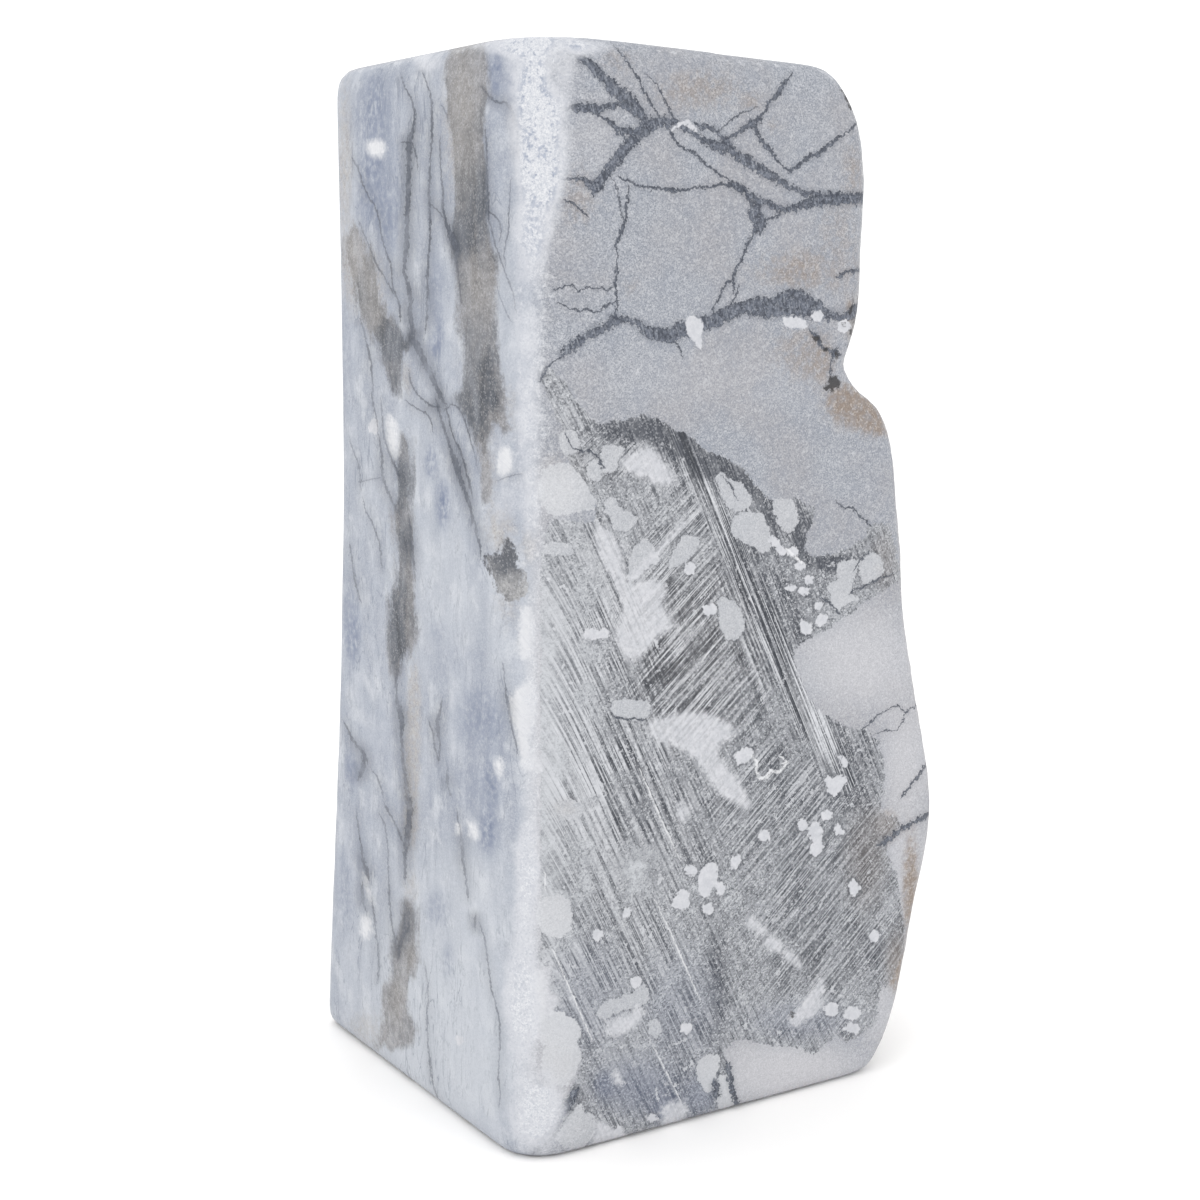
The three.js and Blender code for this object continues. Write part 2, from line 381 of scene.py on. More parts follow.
# %% Trace the veins of the front face
FRONT_VEINS = [
    # the main vein, from the top left to the fork and on to the right edge
    [(570, 55, 1.5), (582, 59, 3.5), (592, 66, 4), (601, 75, 5), (608, 82, 5.5), (614, 90, 6),
     (622, 94, 6.5), (630, 101, 6), (637, 109, 6), (643, 118, 6), (646, 125, 6.5), (656, 123, 6.5),
     (666, 122, 6.5), (676, 122, 4.5), (683, 127, 3.5), (690, 131, 3), (697, 135, 3.5),
     (705, 141, 4.5), (713, 145, 5), (722, 147, 5.5), (730, 151, 5.5), (738, 156, 5.5),
     (747, 161, 5.5), (756, 167, 5), (765, 172, 5), (773, 177, 4.5), (781, 181, 4),
     (788, 187, 3.5), (796, 190, 3), (804, 193, 3.5), (814, 195, 4), (824, 196, 4), (836, 197, 4),
     (850, 197, 4), (863, 196, 3)],
    [(697, 124, 1.5), (703, 127, 3.5), (711, 128, 3), (718, 131, 2), (723, 138, 3), (727, 142, 4)],
    # the branches left of the fork
    [(565, 108, 2), (575, 107, 4), (588, 107, 5), (598, 109, 5), (608, 106, 4.5), (618, 104, 3.5),
     (628, 107, 3)],
    [(600, 116, 1.5), (608, 121, 2.5), (615, 126, 3), (622, 131, 5), (630, 133, 5)],
    [(645, 129, 7), (636, 136, 7), (630, 143, 6), (624, 150, 6.5), (617, 159, 6), (610, 168, 5.5),
     (603, 177, 5), (597, 185, 6), (594, 193, 2)],
    [(565, 179, 1.5), (575, 178, 2), (583, 180, 3), (590, 184, 4.5), (597, 187, 4)],
    [(566, 201, 1), (574, 205, 1.5), (581, 210, 1.2), (586, 217, 0.8)],
    # the lower branch that runs beside the main vein to the right edge
    [(672, 134, 2), (676, 143, 1.2), (684, 149, 1.2), (690, 150, 1), (696, 154, 1.2),
     (703, 162, 1.2), (712, 169, 1.2), (720, 174, 1.2), (728, 179, 1), (733, 184, 2),
     (741, 188, 4), (748, 195, 4), (757, 200, 4), (767, 203, 4), (776, 207, 3.5), (784, 209, 4),
     (794, 208, 4), (804, 205, 4.5), (812, 203, 5), (822, 201, 6), (836, 199, 6.5), (850, 199, 6),
     (863, 199, 5)],
    [(740, 186, 1.5), (746, 196, 1.5), (750, 203, 1.5), (757, 204, 1.5)],
    [(768, 219, 1.2), (775, 217, 1.2), (782, 211, 1.2)],
    # the long thin vein under the fork
    [(620, 178, 0.8), (628, 181, 1.5), (636, 185, 1.8), (646, 188, 1.8), (658, 188, 1.2),
     (665, 188, 1.6), (673, 191, 2), (684, 190, 1.5), (694, 188, 1.2), (704, 187, 1.4),
     (714, 186, 1.3), (722, 184, 1.5), (730, 185, 2), (738, 189, 3.5)],
    # the thin vein that falls from it, and its fainter twin
    [(628, 188, 1), (627, 200, 1.3), (626, 208, 1.5), (625, 218, 1.5), (624, 226, 2),
     (621, 233, 1.8), (617, 239, 1.6), (616, 246, 1.3), (617, 256, 0.8), (616, 264, 1),
     (617, 272, 1.3), (616, 282, 1.5), (615, 288, 1), (617, 296, 0.8), (617, 304, 0.6),
     (616, 312, 1), (615, 318, 3)],
    [(613, 180, 0.6), (617, 190, 0.7), (620, 202, 0.7), (621, 215, 0.6), (624, 225, 0.6)],
    # the blot below the lower branch and the threads that hang from it
    [(757, 205, 4), (755, 213, 7), (760, 220, 8), (760, 228, 5)],
    [(757, 229, 2), (752, 236, 2), (748, 244, 1.8), (744, 252, 1.6), (741, 262, 1.4),
     (736, 269, 1.2), (733, 276, 1.5), (730, 281, 1.5), (725, 286, 1.3), (721, 294, 1.1),
     (717, 302, 0.9), (713, 311, 1)],
    [(733, 276, 1.5), (734, 284, 1.5), (734, 292, 0.6)],
    [(738, 288, 0.8), (736, 295, 1), (732, 302, 1.2)],
    # the branches that rise right of the fork
    [(790, 75, 1.5), (786, 80, 2.5), (782, 87, 3), (778, 94, 2.5), (771, 101, 2), (767, 108, 2),
     (762, 115, 1.6), (759, 120, 3), (752, 124, 3), (745, 128, 2.5), (738, 132, 2.5),
     (731, 137, 2), (727, 141, 3)],
    [(721, 130, 0.8), (727, 124, 0.8), (733, 119, 0.8), (738, 115, 0.8), (744, 112, 0.8),
     (752, 109, 0.6), (757, 107, 0.4)],
    [(753, 124, 3), (757, 131, 1.8), (760, 139, 1.8), (764, 145, 2.5), (770, 149, 2),
     (775, 156, 1.5), (779, 163, 1.2), (784, 168, 1.5), (790, 170, 2.5), (797, 167, 2.5),
     (803, 161, 2), (810, 157, 2.2), (818, 154, 2.5), (825, 149, 2.2), (832, 144, 2),
     (838, 138, 1.5), (845, 134, 1), (852, 128, 1.3), (858, 121, 0.8)],
    # hairlines
    [(612, 43, 0.4), (622, 54, 0.8), (628, 62, 1), (634, 72, 1.1), (640, 82, 1), (644, 91, 1.6),
     (650, 102, 1.2), (655, 110, 1), (659, 116, 0.8)],
    [(647, 75, 0.3), (653, 80, 0.6), (659, 88, 0.7), (663, 97, 0.8), (667, 106, 0.8),
     (672, 114, 0.9), (674, 118, 0.9)],
    [(556, 289, 1), (562, 287, 1), (569, 284, 1), (575, 288, 1), (579, 291, 1), (586, 287, 1),
     (593, 289, 1), (600, 287, 1), (606, 290, 1), (612, 288, 1)],
    [(560, 303, 1), (566, 306, 1), (572, 309, 1), (579, 311, 1), (587, 308, 1), (592, 312, 1),
     (598, 312, 1), (604, 307, 1), (611, 303, 1), (617, 301, 1)],
    [(675, 342, 0.8), (679, 348, 0.8), (682, 356, 0.8)],
    [(840, 276, 2), (846, 273, 2), (857, 270, 2)],
    # the thick wavy vein below the middle of the upper part
    [(541, 378, 2), (545, 372, 2), (549, 364, 1), (558, 359, 1), (561, 356, 2.5), (568, 349, 5),
     (576, 343, 5), (582, 338, 4), (590, 335, 5.5), (596, 330, 4.5), (600, 328, 4),
     (607, 328, 4.5), (612, 320, 5), (618, 320, 4.5), (626, 319, 3.5), (634, 321, 3.5),
     (640, 324, 4.5), (646, 331, 5.5), (652, 333, 7), (660, 334, 7.5), (668, 336, 7),
     (676, 333, 8), (681, 329, 9), (684, 331, 6)],
    [(701, 320, 4), (708, 323, 7), (716, 319, 7), (724, 316, 7.5), (732, 312, 8), (740, 309, 7),
     (747, 307, 6), (752, 308, 9.5), (760, 307, 11), (768, 309, 10), (775, 308, 10),
     (782, 304, 12), (790, 302, 14), (798, 303, 14), (806, 306, 12), (813, 309, 10), (819, 308, 8),
     (822, 309, 4)],
    [(828, 315, 6), (834, 314, 5), (838, 318, 3), (846, 316, 5), (852, 313, 6), (856, 310, 6)],
    # cracks in the lower half
    [(863, 729, 0.8), (870, 722, 0.9), (877, 716, 0.8), (885, 711, 0.8), (893, 707, 0.8),
     (898, 705, 0.8), (905, 712, 0.8), (912, 708, 0.8), (918, 704, 0.8)],
    [(877, 733, 0.5), (888, 730, 0.7), (897, 731, 0.8), (903, 722, 0.8), (906, 712, 0.8)],
    [(903, 795, 1.5), (909, 788, 1.5), (915, 780, 1.5), (920, 773, 1.2), (924, 766, 1)],
    [(882, 843, 3), (890, 838, 3), (900, 830, 3), (908, 826, 3), (915, 822, 2.5), (922, 818, 2.5),
     (929, 813, 2)],
    [(715, 1085, 4), (716, 1093, 4)],
    [(728, 1065, 3), (731, 1083, 3), (735, 1098, 2.5), (738, 1107, 2)],
    [(577, 1090, 3), (572, 1100, 4), (563, 1115, 4), (553, 1130, 4), (543, 1140, 4),
     (536, 1150, 3)],
    [(812, 332, 2), (817, 337, 3), (819, 343, 1.5), (825, 350, 1.5), (836, 353, 3)],
    [(837, 348, 0.8), (832, 353, 1), (834, 359, 1), (830, 364, 1), (831, 376, 1)],
    # outlines of clasts in the dark ground
    [(616, 717, 0.8), (628, 720, 1.2), (642, 719, 1)],
    [(723, 477, 0.6), (730, 486, 0.9), (737, 498, 0.6)],
    [(838, 503, 0.8), (845, 509, 1.2), (852, 508, 1), (858, 514, 1.2), (864, 520, 1.2),
     (870, 525, 1)],
    [(566, 434, 0.8), (572, 446, 1), (580, 452, 1), (590, 450, 0.8), (598, 458, 1),
     (603, 466, 0.8)],
    [(855, 568, 1), (861, 560, 1.2), (868, 552, 1)],
    [(852, 592, 1), (858, 588, 1.2), (866, 586, 1), (878, 579, 1), (890, 575, 0.8)],
    [(822, 598, 1), (830, 604, 1.2), (838, 612, 1)],
]
# Thin white lines, where the rock healed last.
WHITE_LINES = [
    [(752, 756, 1), (757, 762, 1.5), (756, 771, 1.2), (760, 779, 1.6), (767, 777, 1.8),
     (771, 770, 1.2), (778, 773, 1.5), (786, 765, 1)],
    [(781, 757, 0.8), (787, 762, 0.8)],
    [(787, 549, 1), (793, 555, 1.5), (800, 562, 1.2)],
    [(545, 873, 0.6), (545, 890, 0.6)],
    [(553, 950, 0.5), (565, 978, 0.7), (578, 1008, 0.7), (592, 1040, 0.5)],
    [(655, 900, 0.5), (670, 932, 0.7), (685, 966, 0.7), (700, 1000, 0.5)],
    [(650, 1040, 0.5), (665, 1070, 0.7), (680, 1100, 0.5)],
    [(640, 770, 0.6), (652, 798, 0.8), (665, 828, 0.7), (680, 860, 0.5)],
]

# %% [markdown]
# The left face was cut across the same rock, so its veins run up and down in long soft strands.

# %% Trace the veins of the left face
LEFT_VEINS = [
    [(402, 77, 1), (405, 88, 1.2), (410, 96, 1.5), (414, 108, 1.5), (415, 118, 1.8),
     (413, 130, 2.5), (410, 140, 4), (409, 150, 4), (409, 165, 3.5), (409, 180, 4), (408, 190, 4),
     (408, 203, 3.5), (407, 215, 3.5), (407, 228, 3.5), (407, 240, 4), (406, 252, 3.5),
     (405, 262, 3), (404, 272, 2.5), (407, 282, 2.5), (410, 292, 4), (411, 300, 3.5),
     (410, 310, 3), (411, 320, 3), (413, 332, 4)],
    [(404, 142, 0.8), (412, 143, 1), (415, 150, 1), (418, 168, 0.6)],
    [(422, 70, 0.8), (426, 82, 1), (430, 92, 1.3), (432, 104, 1.8), (432, 118, 1.8), (432, 135, 2),
     (431, 150, 2), (430, 165, 1.8), (430, 180, 1.8), (429, 190, 2.3), (429, 200, 2.3),
     (430, 212, 2), (430, 225, 1.6), (430, 238, 1.6), (429, 252, 1.5), (428, 265, 1.8),
     (427, 278, 2), (428, 290, 2), (427, 302, 2), (427, 315, 2), (426, 330, 1.5)],
    [(440, 140, 0.8), (440, 155, 1), (441, 170, 1), (442, 182, 1), (443, 195, 1.5), (443, 208, 2),
     (445, 218, 2.2), (448, 228, 3), (452, 236, 5), (456, 245, 6), (457, 253, 4), (457, 262, 2),
     (458, 275, 1.5), (460, 290, 1), (461, 305, 0.8)],
    [(432, 205, 0.6), (440, 213, 0.6), (443, 218, 0.6)],
    [(442, 105, 0.6), (446, 112, 0.8), (448, 120, 0.6)],
    [(485, 130, 1), (487, 150, 1.5), (487, 175, 1.8), (488, 200, 1.8), (489, 220, 1.5),
     (494, 240, 1), (499, 256, 0.8), (505, 272, 0.8), (510, 285, 0.8), (514, 297, 0.8),
     (515, 310, 0.6)],
    [(480, 85, 0.8), (487, 94, 1.2), (493, 100, 2), (500, 103, 2), (505, 101, 2), (508, 104, 2.5),
     (512, 110, 3), (514, 118, 3.5), (517, 127, 3.5), (519, 135, 3), (518, 145, 2.5),
     (518, 155, 2), (521, 162, 1.2), (523, 175, 0.8), (524, 190, 0.6)],
    [(490, 212, 0.8), (495, 216, 1), (500, 223, 0.9), (501, 232, 0.7), (500, 240, 0.5)],
    [(511, 180, 0.5), (510, 195, 0.7), (509, 210, 0.8), (509, 225, 1), (508, 235, 1),
     (505, 245, 1), (504, 255, 0.8), (505, 265, 0.6)],
    [(498, 290, 0.6), (503, 305, 0.6), (510, 320, 0.6)],
    [(352, 158, 0.8), (357, 166, 1), (360, 175, 1.2), (363, 185, 1.2), (367, 193, 1.5),
     (370, 200, 1.2), (375, 205, 0.8), (377, 212, 1), (380, 222, 1), (381, 232, 1), (383, 242, 1),
     (386, 252, 1), (390, 262, 1.5), (392, 272, 1.5), (392, 282, 1.3), (394, 292, 1.6),
     (398, 300, 1.6), (400, 308, 1.6), (400, 318, 1.5)],
    [(359, 222, 0.6), (363, 232, 0.8), (367, 240, 1), (372, 254, 1.2), (377, 266, 1.2),
     (383, 275, 1.2), (388, 283, 1.2), (392, 292, 1.2)],
    # the dark knot in the upper half and the strands that leave it
    [(413, 340, 5), (420, 352, 5), (426, 365, 4.5), (431, 375, 4), (436, 386, 3.5), (440, 396, 3),
     (444, 402, 2.5)],
    [(360, 320, 0.8), (364, 330, 1.2), (366, 342, 1.5), (369, 353, 1.5), (371, 362, 1.8),
     (372, 375, 1.5), (373, 385, 1.2), (372, 395, 1.2), (374, 408, 1.2), (377, 420, 0.8),
     (378, 432, 0.7), (380, 445, 1.2), (382, 455, 2), (382, 467, 2.2), (383, 478, 2.2),
     (386, 487, 2), (390, 497, 2.2), (394, 505, 2.5), (398, 512, 2.5)],
    [(381, 400, 0.6), (382, 415, 0.8), (383, 430, 1.2), (385, 440, 1.5), (388, 450, 1.6),
     (392, 460, 1.8), (396, 468, 2), (399, 476, 2)],
    [(409, 372, 0.8), (411, 383, 1.2), (415, 391, 1.5), (420, 397, 1.2), (426, 402, 1.5),
     (430, 406, 2.5), (437, 407, 1.5)],
    [(408, 402, 0.8), (413, 406, 1.2), (419, 410, 1.2), (425, 412, 1.2), (429, 416, 1.2),
     (431, 422, 1.2), (433, 430, 0.8)],
    [(437, 403, 2), (440, 415, 2), (443, 425, 2), (446, 435, 2.2), (449, 445, 2.5), (453, 455, 3),
     (457, 466, 5), (459, 474, 4.5), (462, 484, 3), (467, 497, 3), (470, 505, 2.5),
     (472, 515, 2.2), (475, 525, 2.5), (477, 535, 2.2), (480, 545, 1.8), (481, 556, 1.2)],
    [(446, 408, 1), (449, 417, 1), (450, 427, 1.2), (453, 436, 1.2), (457, 444, 1.2),
     (461, 452, 1.5), (464, 462, 1.5), (466, 472, 1.5), (469, 482, 1.2), (472, 495, 1.2)],
    [(446, 409, 0.8), (452, 404, 1), (458, 407, 1), (463, 415, 1), (466, 425, 1), (469, 435, 1),
     (473, 447, 1), (476, 460, 1), (478, 470, 0.8)],
    # the dark core and margins of the lower band
    [(404, 535, 1.2), (406, 545, 2), (407, 553, 1.5)],
    [(409, 520, 1.5), (411, 530, 2), (412, 545, 2.5), (413, 558, 2), (415, 575, 1)],
    [(397, 672, 2.5), (396, 685, 1.8), (397, 700, 2.2), (400, 712, 3.5), (402, 722, 4),
     (401, 735, 2.5), (402, 748, 2.2), (403, 760, 3), (405, 775, 2.5), (406, 788, 3.5),
     (408, 798, 4), (410, 808, 4.5), (409, 820, 4), (408, 832, 4.5), (407, 842, 5),
     (405, 855, 2.5), (405, 868, 2.2), (405, 880, 1.5)],
    [(405, 905, 3), (407, 915, 5), (406, 925, 4), (403, 935, 3), (400, 945, 3), (398, 958, 2)],
    [(350, 440, 0.6), (353, 450, 0.7), (358, 462, 0.8), (360, 475, 0.8), (361, 490, 0.6)],
    [(361, 482, 0.6), (368, 480, 0.7), (378, 478, 0.6)],
    [(363, 500, 0.8), (366, 512, 1), (372, 522, 1), (376, 532, 1), (379, 542, 1), (381, 555, 1),
     (382, 568, 0.8)],
    [(350, 545, 0.8), (352, 560, 1), (354, 575, 1.2), (357, 590, 1.2), (360, 600, 1)],
    [(344, 722, 1), (349, 732, 1.5), (353, 740, 2), (358, 747, 2.5), (363, 752, 3), (365, 760, 4),
     (363, 768, 4), (360, 776, 3)],
    [(356, 810, 0.8), (358, 825, 1), (360, 840, 1.2), (362, 850, 2), (363, 860, 3),
     (366, 870, 3.5), (369, 880, 1.5)],
    [(372, 770, 0.8), (378, 778, 1), (381, 788, 1), (384, 798, 0.8)],
    [(385, 805, 1.2), (389, 812, 2), (393, 820, 1.5), (396, 826, 1.6), (400, 835, 1.2),
     (403, 842, 1)],
    [(380, 815, 0.8), (385, 825, 1), (387, 838, 1), (388, 850, 1), (388, 865, 1), (389, 880, 1.2),
     (389, 895, 1.8), (390, 910, 1.5), (392, 925, 1.5), (395, 938, 2.2), (398, 950, 2.5)],
    [(362, 885, 2), (363, 900, 3), (366, 912, 1.5)],
    [(372, 900, 1), (374, 915, 1.4), (376, 935, 1.4), (378, 950, 1.4), (379, 965, 1.2),
     (378, 980, 1)],
    [(442, 700, 1.2), (440, 712, 2), (437, 722, 3.5), (438, 732, 2.5), (440, 745, 1.5),
     (439, 760, 1)],
    [(428, 720, 0.8), (433, 732, 1), (434, 742, 1.2), (436, 752, 1.2), (438, 760, 1)],
    [(447, 770, 0.8), (447, 782, 2.5), (449, 790, 1), (452, 798, 0.6)],
    [(457, 812, 1.2), (460, 828, 1), (461, 838, 2.5), (463, 848, 3), (463, 860, 2.5),
     (465, 872, 1.8), (467, 885, 1.5), (468, 898, 1)],
    [(503, 665, 0.8), (505, 680, 1), (506, 695, 1.8), (508, 705, 2.3), (510, 718, 2),
     (512, 728, 1.2), (515, 740, 1), (518, 752, 0.8)],
    [(425, 965, 0.6), (428, 985, 0.8), (428, 1000, 0.8), (427, 1015, 1.2), (427, 1030, 1.2),
     (428, 1045, 1.2), (430, 1060, 1.2), (431, 1075, 1.2), (434, 1088, 1), (438, 1098, 0.8)],
    [(480, 925, 0.8), (485, 940, 1), (487, 955, 1.2), (489, 968, 1.2), (490, 980, 1.2),
     (492, 992, 1.2), (496, 1005, 1.2), (499, 1018, 1.2), (500, 1030, 1.2), (500, 1045, 1),
     (499, 1060, 0.8), (498, 1075, 1), (500, 1090, 1.2), (500, 1105, 0.8)],
    [(475, 918, 2.5), (475, 926, 2.5)],
    [(498, 481, 0.8), (505, 478, 1.2), (512, 475, 1.2), (520, 474, 0.8)],
]

# %% [markdown]
# Where veins meet, the nearest one changes from vertex to vertex and the signs would clash.
# So the veins are dealt out over a few layers, each vein to the first layer in which it keeps
# clear of the others, and every layer is stored by itself.

# %% Deal the veins out over layers
VEIN_LAYERS = 5
CLEAR_OF_OTHERS = 18


def closest(vein, others):
    """The smallest distance between the points of a vein and those of other veins."""
    if not others:
        return math.inf
    own = np.array(vein)[:, None, :2]
    theirs = np.concatenate([np.array(other)[:, :2] for other in others])[None]
    return np.linalg.norm(own - theirs, axis=2).min()


layers = [[] for _ in range(VEIN_LAYERS)]
for vein in sorted(FRONT_VEINS + LEFT_VEINS, key=len, reverse=True):
    free = [layer for layer in layers if closest(vein, layer) > CLEAR_OF_OTHERS]
    (free or layers[-1:])[0].append(vein)
for number, layer in enumerate(layers):
    store(f"veins_{number}", vein_distance(layer))
    print("layer", number, "has", len(layer), "veins")
store("white_lines", vein_distance(WHITE_LINES))

# %% [markdown]
# ## The dark ground and its clasts
# The lower front face was cut through a breccia: pale pieces of the rock, the clasts, lie broken
# in a dark grey ground. The ground is traced as one outline. The clasts are traced as their own
# outlines, in two groups: plates with the tone of the block, and chalk-white ones.
# Clasts smaller than about a millimetre aren't traced. The material strews them.

# %% Trace the dark ground
DARK_GROUND = [
    (545, 372), (550, 368), (556, 375), (566, 385), (576, 400), (585, 410), (591, 419), (600, 424),
    (607, 424), (613, 420), (620, 421), (628, 419), (635, 416), (643, 415), (652, 417), (660, 420),
    (668, 425), (674, 430), (682, 431), (690, 436), (696, 441), (701, 447), (708, 450), (715, 453),
    (722, 457), (730, 460), (742, 468), (748, 474), (752, 479), (756, 486), (762, 492), (768, 499),
    (775, 501), (782, 500), (788, 498), (795, 498), (800, 500), (806, 505), (811, 508), (813, 503),
    (814, 512), (814, 520), (811, 526), (807, 532), (806, 540), (805, 549), (808, 554), (815, 557),
    (820, 557), (826, 554), (833, 555), (838, 553), (842, 549), (850, 547), (857, 543), (863, 538),
    (867, 532), (869, 524), (876, 523), (888, 524), (893, 540), (898, 560), (901, 580), (893, 585),
    (885, 590), (877, 595), (868, 600), (860, 605), (855, 611), (848, 616), (840, 621), (832, 626),
    (823, 631), (815, 637), (806, 641), (800, 644), (795, 649), (793, 654), (794, 660), (795, 668),
    (798, 677), (803, 686), (807, 694), (812, 702), (818, 710), (826, 716), (835, 721), (845, 726),
    (855, 729), (863, 729), (868, 730), (872, 737), (880, 740), (878, 748), (884, 757), (883, 765),
    (886, 776), (882, 783), (884, 790), (880, 800), (880, 810), (886, 815), (893, 816), (899, 820),
    (902, 824), (895, 832), (887, 840), (887, 852), (889, 860), (893, 868), (897, 877), (899, 887),
    (900, 900), (902, 915), (904, 930), (903, 950), (898, 965), (892, 978), (886, 985), (880, 992),
    (878, 1003), (878, 1012), (877, 1020), (872, 1027), (866, 1033), (858, 1036), (851, 1040),
    (847, 1043), (842, 1038), (835, 1037), (828, 1042), (822, 1048), (815, 1054), (808, 1052),
    (800, 1048), (790, 1047), (775, 1046), (762, 1044), (755, 1041), (745, 1040), (733, 1041),
    (728, 1046), (724, 1054), (728, 1065), (732, 1078), (735, 1090), (738, 1107), (718, 1113),
    (705, 1116), (690, 1122), (660, 1129), (640, 1135), (630, 1136), (615, 1130), (606, 1124),
    (597, 1120), (594, 1125), (592, 1135), (588, 1141), (583, 1148), (580, 1135), (580, 1118),
    (580, 1106), (570, 1118), (562, 1130), (553, 1140), (540, 1150), (536, 1146), (545, 1137),
    (555, 1130), (560, 1120), (556, 1113), (560, 1105), (568, 1095), (573, 1085), (578, 1072),
    (582, 1060), (580, 1048), (575, 1040), (562, 1038), (548, 1044), (542, 1036), (541, 1022),
    (548, 1017), (553, 1012), (555, 1006), (560, 1000), (557, 997), (551, 993), (548, 985),
    (549, 978), (551, 967), (539, 966), (538, 955), (541, 940), (541, 900), (540, 860), (541, 800),
    (540, 700), (541, 640), (540, 580), (543, 548), (548, 525), (553, 520), (565, 519), (580, 521),
    (592, 522), (597, 515), (594, 501), (590, 495), (585, 486), (580, 478), (573, 470), (568, 462),
    (568, 454), (561, 447), (562, 430), (556, 415), (552, 405), (546, 395), (543, 385), (541, 378),
]
# Two dark patches on the right edge, at its upper corner and above the notch.
EDGE_PATCHES = [
    [(838, 74), (845, 78), (852, 88), (857, 98), (855, 108), (848, 100), (842, 90)],
    [(852, 296), (860, 292), (862, 318), (858, 338), (850, 342), (847, 328), (852, 314)],
]
store("ground", outline_distance([DARK_GROUND] + EDGE_PATCHES))

# %% Trace the plates
PLATES = [
    [(543, 473), (550, 468), (560, 465), (567, 464), (573, 470), (580, 478), (585, 486),
     (590, 495), (594, 501), (592, 508), (580, 509), (567, 512), (555, 514), (548, 511),
     (543, 500), (541, 485)],
    [(561, 437), (565, 432), (574, 434), (578, 441), (575, 449), (567, 453), (562, 447)],
    [(603, 448), (612, 446), (620, 450), (620, 457), (610, 459), (604, 455)],
    [(604, 461), (612, 460), (617, 465), (613, 470), (605, 469)],
    [(590, 464), (597, 462), (600, 470), (598, 479), (591, 477)],
    [(607, 501), (615, 500), (617, 508), (622, 512), (630, 514), (635, 519), (633, 525),
     (628, 529), (620, 530), (615, 526), (613, 518), (607, 511)],
    [(638, 545), (645, 540), (650, 545), (655, 553), (658, 560), (650, 563), (642, 570),
     (636, 576), (630, 583), (630, 570), (633, 555)],
    [(699, 540), (693, 537), (685, 538), (680, 545), (675, 553), (672, 562), (670, 566),
     (676, 564), (683, 560), (690, 555), (696, 549)],
    [(545, 546), (557, 544), (570, 546), (570, 552), (555, 554), (545, 552)],
    [(613, 704), (620, 701), (632, 702), (640, 702), (648, 705), (650, 712), (645, 716),
     (636, 718), (630, 717), (622, 715), (616, 714), (612, 709)],
    [(716, 478), (722, 475), (727, 480), (733, 483), (740, 484), (744, 490), (750, 498),
     (749, 503), (744, 507), (737, 509), (731, 507), (727, 500), (723, 493), (722, 486)],
    [(733, 522), (738, 516), (750, 514), (761, 516), (764, 522), (768, 531), (770, 537),
     (769, 545), (767, 550), (762, 551), (758, 546), (751, 543), (745, 541), (738, 537),
     (733, 530)],
    [(775, 502), (783, 501), (790, 500), (794, 506), (796, 514), (795, 523), (791, 530),
     (786, 530), (781, 525), (778, 516), (776, 508)],
    [(840, 563), (850, 562), (857, 561), (855, 568), (852, 578), (848, 590), (842, 584),
     (839, 577), (839, 568)],
    [(865, 556), (872, 554), (878, 556), (882, 565), (883, 572), (876, 577), (866, 583),
     (863, 577), (862, 566)],
    [(829, 586), (836, 582), (845, 590), (852, 596), (857, 600), (848, 601), (842, 605),
     (839, 609), (835, 607), (834, 600)],
    [(540, 903), (550, 899), (560, 897), (568, 903), (570, 915), (569, 928), (562, 934),
     (550, 935), (543, 930), (538, 915)],
    [(541, 1012), (560, 1014), (575, 1022), (580, 1034), (572, 1042), (556, 1045), (543, 1040)],
    [(545, 1050), (560, 1042), (574, 1044), (579, 1055), (574, 1072), (566, 1084), (552, 1084),
     (543, 1070)],
    [(562, 1130), (570, 1118), (580, 1106), (582, 1118), (586, 1140), (580, 1148), (565, 1145),
     (558, 1138)],
    [(585, 1113), (591, 1115), (593, 1122), (592, 1132), (589, 1138), (585, 1135), (583, 1126)],
    [(598, 1015), (602, 1007), (608, 1003), (618, 1000), (630, 997), (638, 993), (643, 985),
     (648, 1000), (640, 1004), (630, 1006), (615, 1012), (605, 1016)],
    [(650, 1023), (655, 1021), (659, 1025), (659, 1032), (655, 1035), (651, 1033)],
    [(706, 1057), (717, 1057), (716, 1065), (714, 1073), (710, 1083), (708, 1092), (702, 1082),
     (698, 1073), (700, 1064)],
    [(720, 1078), (726, 1077), (730, 1085), (735, 1100), (733, 1108), (722, 1112), (718, 1100)],
    [(720, 600), (732, 602), (738, 610), (743, 620), (742, 632), (736, 637), (728, 637),
     (722, 630), (721, 618)],
    [(560, 804), (572, 802), (582, 806), (580, 816), (570, 818), (561, 812)],
]
store("plates", outline_distance(PLATES))

